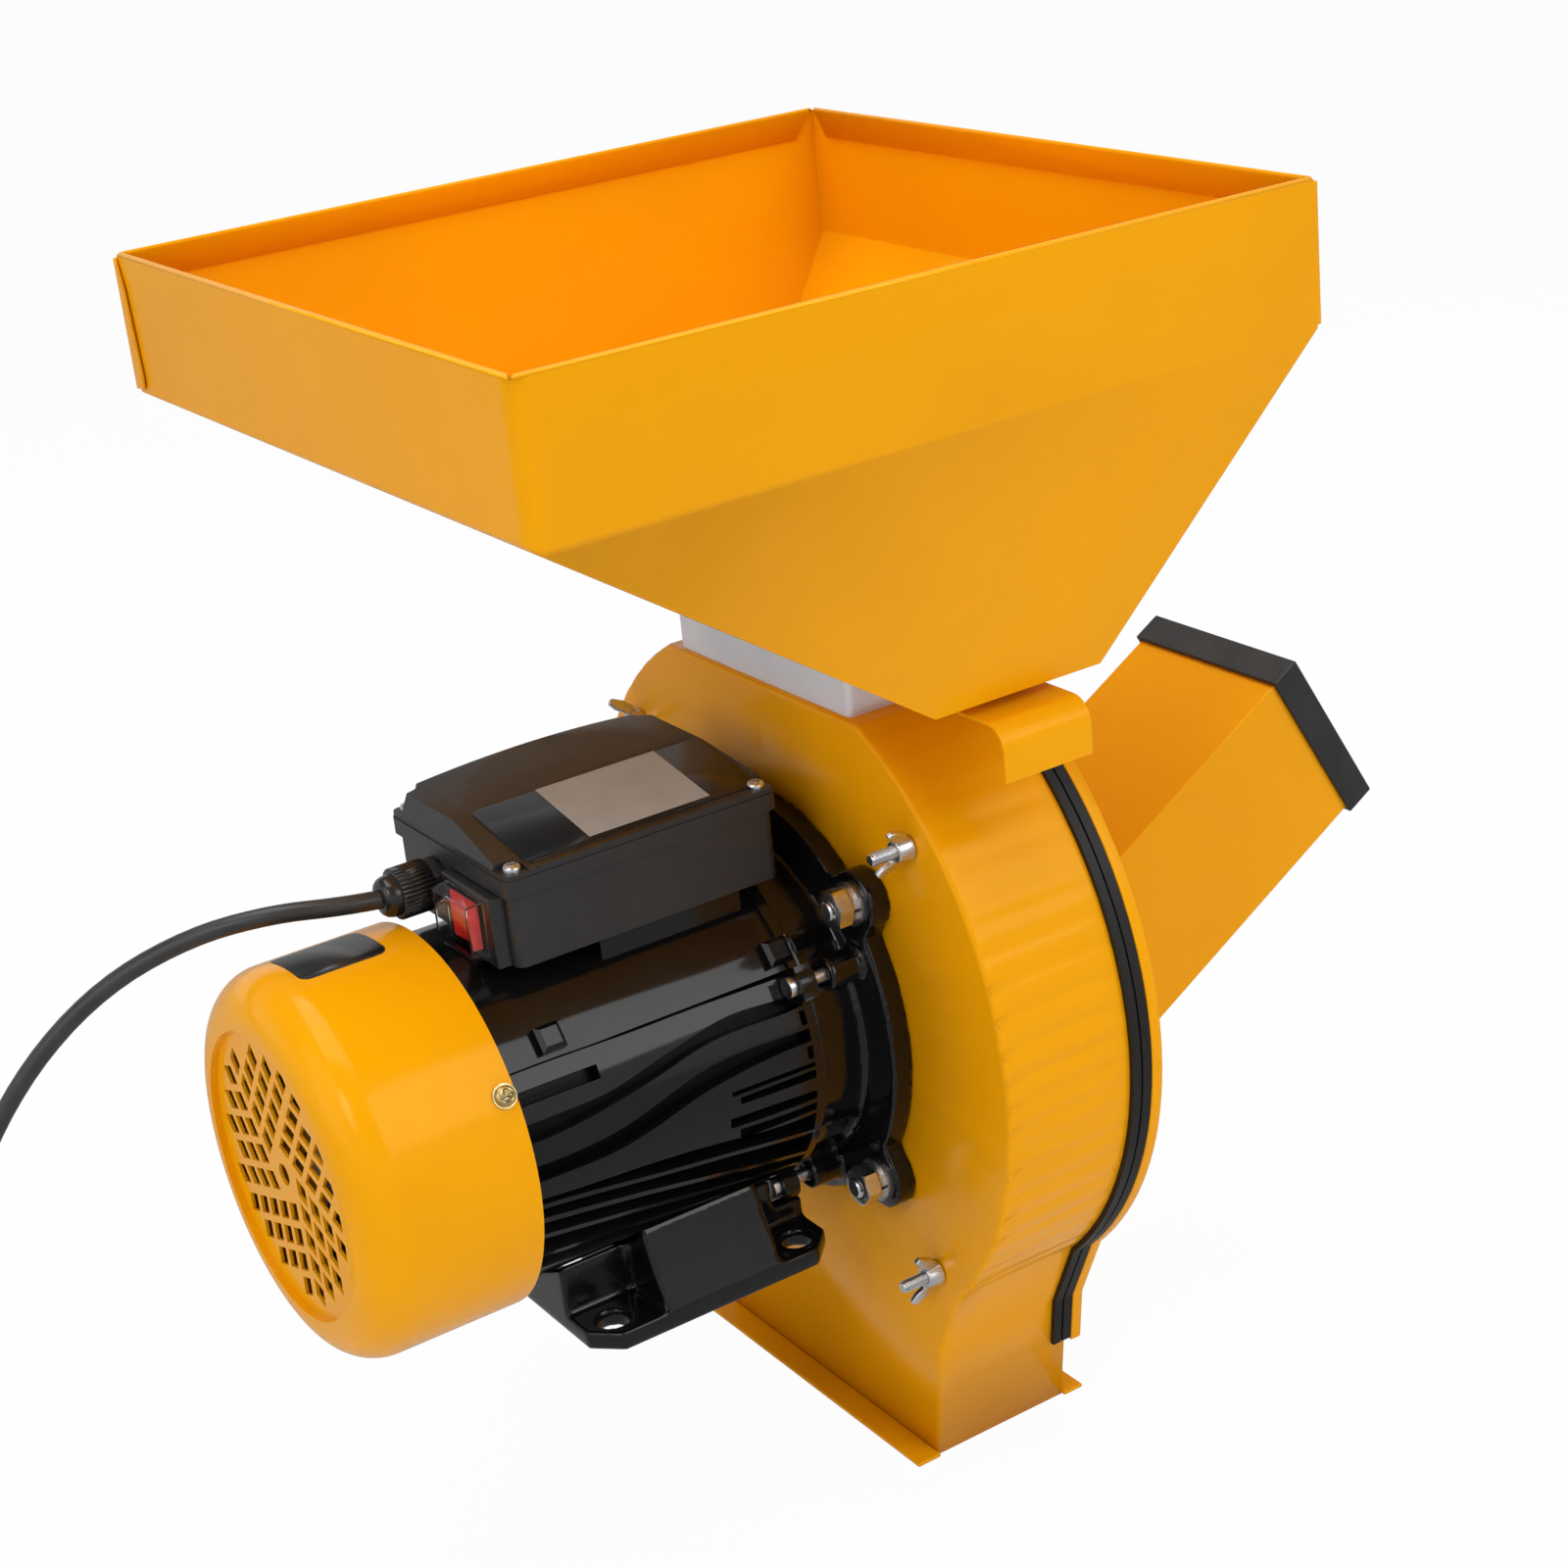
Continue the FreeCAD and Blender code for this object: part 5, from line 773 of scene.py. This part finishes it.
def cross_head(shape, place, out, form, recess):
    """A round screw with a cross recess: its form is (radius, height) in mm, from top edge to stem."""
    head = bmesh.new()
    profile = [(r * MM, h * MM) for r, h in form]
    top = profile[0][1]
    arm, half = profile[0][0] * CROSS_ARM, profile[0][0] * CROSS_HALF
    bmesh.ops.create_grid(head, x_segments=3, y_segments=3, size=1)
    for v in head.verts:
        v.co = Vector([math.copysign(arm if abs(c) > 0.5 else half, c) for c in v.co[:2]] + [top])
    bmesh.ops.subdivide_edges(head, edges=[e for e in head.edges if e.is_boundary], cuts=1)
    outline = [e for e in head.edges if e.is_boundary]
    for radius, height in profile:
        ring, outline = extruded(head, outline)
        for v in ring:
            v.co = Vector((v.co.x, v.co.y, 0)).normalized() * radius + Vector((0, 0, height))
    bmesh.ops.contextual_create(head, geom=outline)
    cross = [f for f in head.faces if abs(f.calc_center_median().z - top) < 1e-7 and f.calc_area() < arm * arm
             and min(map(abs, f.calc_center_median()[:2])) < half / 2
             and max(map(abs, f.calc_center_median()[:2])) < arm]
    sunk = bmesh.ops.extrude_face_region(head, geom=cross)["geom"]
    bmesh.ops.translate(head, verts=[g for g in sunk if isinstance(g, bmesh.types.BMVert)],
                        vec=(0, 0, -recess))
    join_in(shape, head, Matrix.Translation(place) @ out.to_track_quat("Z", "Y").to_matrix().to_4x4())


def spoke(degrees):
    """The direction straight out from the shaft at an angle."""
    return Vector((math.cos(math.radians(degrees)), 0, math.sin(math.radians(degrees))))


def round_corners(shape, radius):
    """Rounds the corners of a flat plate."""
    bmesh.ops.bevel(shape, geom=shape.verts[:], offset=radius, offset_type="OFFSET", segments=5, profile=0.5,
                    affect="VERTICES", material=-1)


BRASSY = finish("passivated_screw", (0.62, 0.50, 0.24), (0.48, 0.38, 0.17), 0.28, 0.42, patch=180.0,
                grain=(900.0, 0.2), metal=1.0)
screws = bmesh.new()
for angle in COWL_SCREW_ANGLES:
    place = spoke(angle) * COWL_R + Vector((0, COWL_SCREW_Y, SHAFT_Z))
    cross_head(screws, place, spoke(angle), COWL_HEAD, 1.5 * MM)
put("cowl_screw_heads", screws, BRASSY, "base", ["cowl_screws"], limit=45)

sticker = bmesh.new()
bmesh.ops.create_grid(sticker, x_segments=1, y_segments=1, size=1)
wide = (STICKER_ANGLES[1] - STICKER_ANGLES[0]) * COWL_R
for v in sticker.verts:
    v.co = Vector((v.co.x * wide / 2, sum(STICKER_Y) / 2 + v.co.y * (STICKER_Y[1] - STICKER_Y[0]) / 2, 0))
round_corners(sticker, STICKER_CORNER)
for k in range(1, STICKER_STRIPS):
    bmesh.ops.bisect_plane(sticker, geom=sticker.verts[:] + sticker.edges[:] + sticker.faces[:], dist=1e-7,
                           plane_co=((k / STICKER_STRIPS - 0.5) * wide, 0, 0), plane_no=(1, 0, 0))
for v in sticker.verts:
    angle = sum(STICKER_ANGLES) / 2 - v.co.x / COWL_R
    v.co = Vector((COWL_R * math.cos(angle), v.co.y, SHAFT_Z + COWL_R * math.sin(angle)))
face_out(sticker, sticker.faces[:][0], (0, 0, -1))
STICKER_FILM = finish("sticker_film", (0.012, 0.012, 0.013), (0.018, 0.018, 0.019), 0.28, 0.36,
                      grain=(900.0, 0.03))
put("blank_sticker", sticker, STICKER_FILM, "base", thick=STICKER_THICK, turn_out=False)


# Bolts and nuts
# Zinc-plated fasteners: bolts through the bracket's lugs with nuts on flat and spring washers, and the screws
# that hold the frame to the bracket and to the foot.

FLANGE_BOLTS = ((79.7, 70.8), (-79.7, 70.8), (79.7, -70.8), (-79.7, -70.8))
BOLT_R, BOLT_PITCH, BOLT_STEPS = 5 * MM, 1.5 * MM, 28
BOLT_FLATS, BOLT_HEAD, BOLT_SEAT_Y = 17 * MM, 6.4 * MM, BACK_Y + HOUSING_SHEET
BOLT_END_Y, NUT_SEAT_Y, NUT_THICK, NUT_PLAY = 73.7 * MM, 83.6 * MM, 8 * MM, 0.05 * MM
END_SHARE, FACE_SHARE, CHAMFER_SLOPE = 0.45, 0.475, math.tan(math.radians(25))
EARS_R, EARS_ANGLES = 88 * MM, (27.5, 152.5, -60, 240)
EAR_SCREW_R, EAR_SCREW_PITCH = 3.25 * MM, 1.0 * MM
FRAME_END_Y, EAR_SCREW_TIP, EAR_SCREW_RUN = 62 * MM, 1 * MM, 10 * MM


def hexagon(shape, x, z, y0, y1, bore=0.0, turn=0.0):
    """A hexagon with both ends chamfered round, from y0 to y1, with a bore where one is given."""
    ring = bmesh.ops.create_circle(shape, cap_ends=not bore, radius=bore or BOLT_FLATS * END_SHARE,
                                   segments=48)["verts"]
    for v in ring:
        v.co = Vector((x + v.co.x, y0, z + v.co.y))
    edges = list({e for v in ring for e in v.link_edges if all(w in ring for w in e.verts)})
    face_r = BOLT_FLATS * FACE_SHARE
    for far, radius in ((False, face_r), (False, None), (True, None), (True, face_r)) + (
            ((True, bore),) if bore else ()):
        ring, edges = extruded(shape, edges)
        for v in ring:
            way = Vector((v.co.x - x, 0, v.co.z - z)).normalized()
            angle = math.atan2(way.z, way.x) - math.radians(turn)
            side = BOLT_FLATS / 2 / math.cos((angle + math.pi) % (math.pi / 3) - math.pi / 6)
            chamfer = 0.0 if radius else (side - face_r) * CHAMFER_SLOPE
            v.co = Vector((x, y1 - chamfer if far else y0 + chamfer, z)) + way * (radius or side)
    if not bore:
        bmesh.ops.contextual_create(shape, geom=edges)


bolts, nuts = bmesh.new(), bmesh.new()
for number, (x, z) in enumerate(FLANGE_BOLTS):
    x, z, turn = x * MM, SHAFT_Z + z * MM, 12 + 19 * number
    threaded(bolts, x, z, BOLT_END_Y, NUT_SEAT_Y, BOLT_R, BOLT_PITCH, BOLT_STEPS)
    shank(bolts, x, z, NUT_SEAT_Y, BOLT_SEAT_Y, BOLT_R * 0.99, BOLT_STEPS, filled=True)
    hexagon(bolts, x, z, BOLT_SEAT_Y, BOLT_SEAT_Y + BOLT_HEAD)
    hexagon(nuts, x, z, NUT_SEAT_Y - NUT_THICK, NUT_SEAT_Y, BOLT_R + NUT_PLAY, turn)
put("flange_bolt_threads", bolts, ZINC, "base", ["flange_bolts"], limit=30)
put("flange_nut_forms", nuts, ZINC, "base", ["flange_nuts"], limit=30)
eased("flange_washers", ZINC, "base", 0.35 * MM)
eased("bracket_screws", ZINC, "base", 0.35 * MM)
dress(ZINC, "foot_screws")
ear_threads = bmesh.new()
for angle in EARS_ANGLES:
    way = spoke(angle) * EARS_R
    threaded(ear_threads, way.x, SHAFT_Z + way.z, FRAME_END_Y - EAR_SCREW_TIP, FRAME_END_Y + EAR_SCREW_RUN,
             EAR_SCREW_R, EAR_SCREW_PITCH)
put("ear_screw_threads", ear_threads, ZINC, "base", limit=50)


# Terminal box
# A moulded black box on the frame with a rim band, and a lid held down by four cross-head screws in corner
# wells. A gloss panel with a blank metal plate slopes to the near side; the far part is finely textured.

LID_SCREWS = ((-51.5, -59.3), (-51.5, 65.3), (45.5, -59.3), (45.5, 65.3))
LID_SEAT_Z = 228.4 * MM
LID_SCREW_HEAD = ((2.9, 2.8), (3.6, 2.4), (4.0, 1.5), (4.0, 0.0), (1.8, 0.0), (1.8, -14.0))
LID_CREST_X, LID_TOP_Z, LID_DROP = -4.2 * MM, 239 * MM, 0.1838
PANEL_X, PANEL_Y = (LID_CREST_X + 1.5 * MM, 47.0 * MM), (-52.5 * MM, 67 * MM)
PANEL_SUNK, PANEL_THICK, PANEL_CORNER = 0.1 * MM, 0.45 * MM, 4 * MM

BOX_PLASTIC = finish("box_plastic", (0.016, 0.016, 0.017), (0.022, 0.022, 0.023), 0.32, 0.44, patch=20.0,
                     grain=(1100.0, 0.20), ripple=(45.0, 0.12))
GLOSS_PLASTIC = finish("gloss_plastic", (0.012, 0.012, 0.013), (0.016, 0.016, 0.017), 0.20, 0.26, patch=20.0,
                       grain=(900.0, 0.02), ripple=(40.0, 0.20), specular=0.3)
eased("terminal_box", BOX_PLASTIC, "base", 0.8 * MM, 3)
eased("box_lid", BOX_PLASTIC, "base", 1.2 * MM, 3, 20)

panel = bmesh.new()
bmesh.ops.create_grid(panel, x_segments=1, y_segments=1, size=1)
for v in panel.verts:
    x, y = PANEL_X[v.co.x > 0], PANEL_Y[v.co.y > 0]
    v.co = Vector((x, y, LID_TOP_Z - (x - LID_CREST_X) * LID_DROP - PANEL_SUNK))
round_corners(panel, PANEL_CORNER)
face_out(panel, panel.faces[:][0], (0, 0, -1))
put("lid_gloss_panel", panel, GLOSS_PLASTIC, "base", thick=PANEL_THICK, turn_out=False)
PLATE_METAL = finish("plate_metal", (0.40, 0.45, 0.50), (0.36, 0.41, 0.46), 0.42, 0.50, patch=60.0,
                     grain=(1200.0, 0.06))
eased("rating_plate", PLATE_METAL, "base", 0.15 * MM)
lid_screws = bmesh.new()
for x, y in LID_SCREWS:
    cross_head(lid_screws, Vector((x * MM, y * MM, LID_SEAT_Z)), Vector((0, 0, 1)), LID_SCREW_HEAD, 1.6 * MM)
put("lid_screw_heads", lid_screws, ZINC, "base", ["lid_screws"], limit=45)


# Gland and rocker switch
# The lead enters through a hexagon collar and a finely ribbed domed cap. Beside it a snap-in rocker switch
# stands in its frame under a soft clear hood.

GLAND_X, GLAND_Z, GLAND_TIP_Y = -19 * MM, 205.6 * MM, -94.3 * MM
CAP_FORM = ((6.2, 0.0), (7.6, 0.6), (8.8, 2.0), (9.4, 3.9), (9.65, 5.6), (9.7, 7.2), (10.6, 7.3), (11.1, 7.7),
            (11.1, 23.2), (10.7, 23.8))
CAP_BORE_R = CORD_D / 2 + 0.1 * MM
CAP_RIBS, RIB_TALL, RIB_FROM_R, STEPS_PER_RIB = 34, 0.8 * MM, 10.5 * MM, 6

eased("cable_gland", BOX_PLASTIC, "base", 0.5 * MM, 3)
dress(BOX_PLASTIC, "gland_locknut")
cap = bmesh.new()
form = [(CAP_BORE_R, 0.0)] + [(r * MM, y * MM) for r, y in CAP_FORM] + [(CAP_BORE_R, CAP_FORM[-1][1] * MM)]
corners = [cap.verts.new((r, GLAND_TIP_Y + y, 0)) for r, y in form]
sides = [cap.edges.new(pair) for pair in zip(corners, corners[1:])]
bmesh.ops.spin(cap, geom=corners + sides, cent=(0, 0, 0), axis=(0, 1, 0), angle=2 * math.pi,
               steps=CAP_RIBS * STEPS_PER_RIB, use_merge=True)
for v in cap.verts:
    radius = math.hypot(v.co.x, v.co.z)
    if radius > RIB_FROM_R:
        lift = RIB_TALL * (0.5 + 0.5 * math.cos(math.atan2(v.co.z, v.co.x) * CAP_RIBS)) ** 0.8
        v.co.x *= 1 + lift / radius
        v.co.z *= 1 + lift / radius
bmesh.ops.translate(cap, verts=cap.verts, vec=(GLAND_X, 0, GLAND_Z))
CAP_PLASTIC = finish("cap_plastic", (0.012, 0.012, 0.013), (0.017, 0.017, 0.018), 0.14, 0.22, patch=40.0,
                     grain=(1100.0, 0.03), ripple=(60.0, 0.1))
put("gland_cap", cap, CAP_PLASTIC, "base", ["gland_nut"], limit=50)

SWITCH_BLACK = finish("switch_black", (0.012, 0.012, 0.013), (0.016, 0.016, 0.017), 0.26, 0.36, patch=30.0,
                      grain=(1200.0, 0.05))
eased("switch_body", SWITCH_BLACK, "base", 0.6 * MM, 3)
ROCKER_RED = finish("rocker_red", (0.90, 0.020, 0.010), (0.78, 0.016, 0.008), 0.18, 0.28, patch=60.0)
eased("switch_rocker", ROCKER_RED, "rocker", 0.7 * MM, 3)
HOOD = finish("clear_hood", (0.97, 0.98, 0.98), (0.96, 0.97, 0.97), 0.0, 0.01, grain=(900.0, 0.0),
              ripple=(70.0, 0.02))
set_inputs(shader_of(HOOD), {"Transmission Weight": 1.0, "IOR": 1.24})
eased("switch_cover", HOOD, "base", 0.5 * MM, 3)
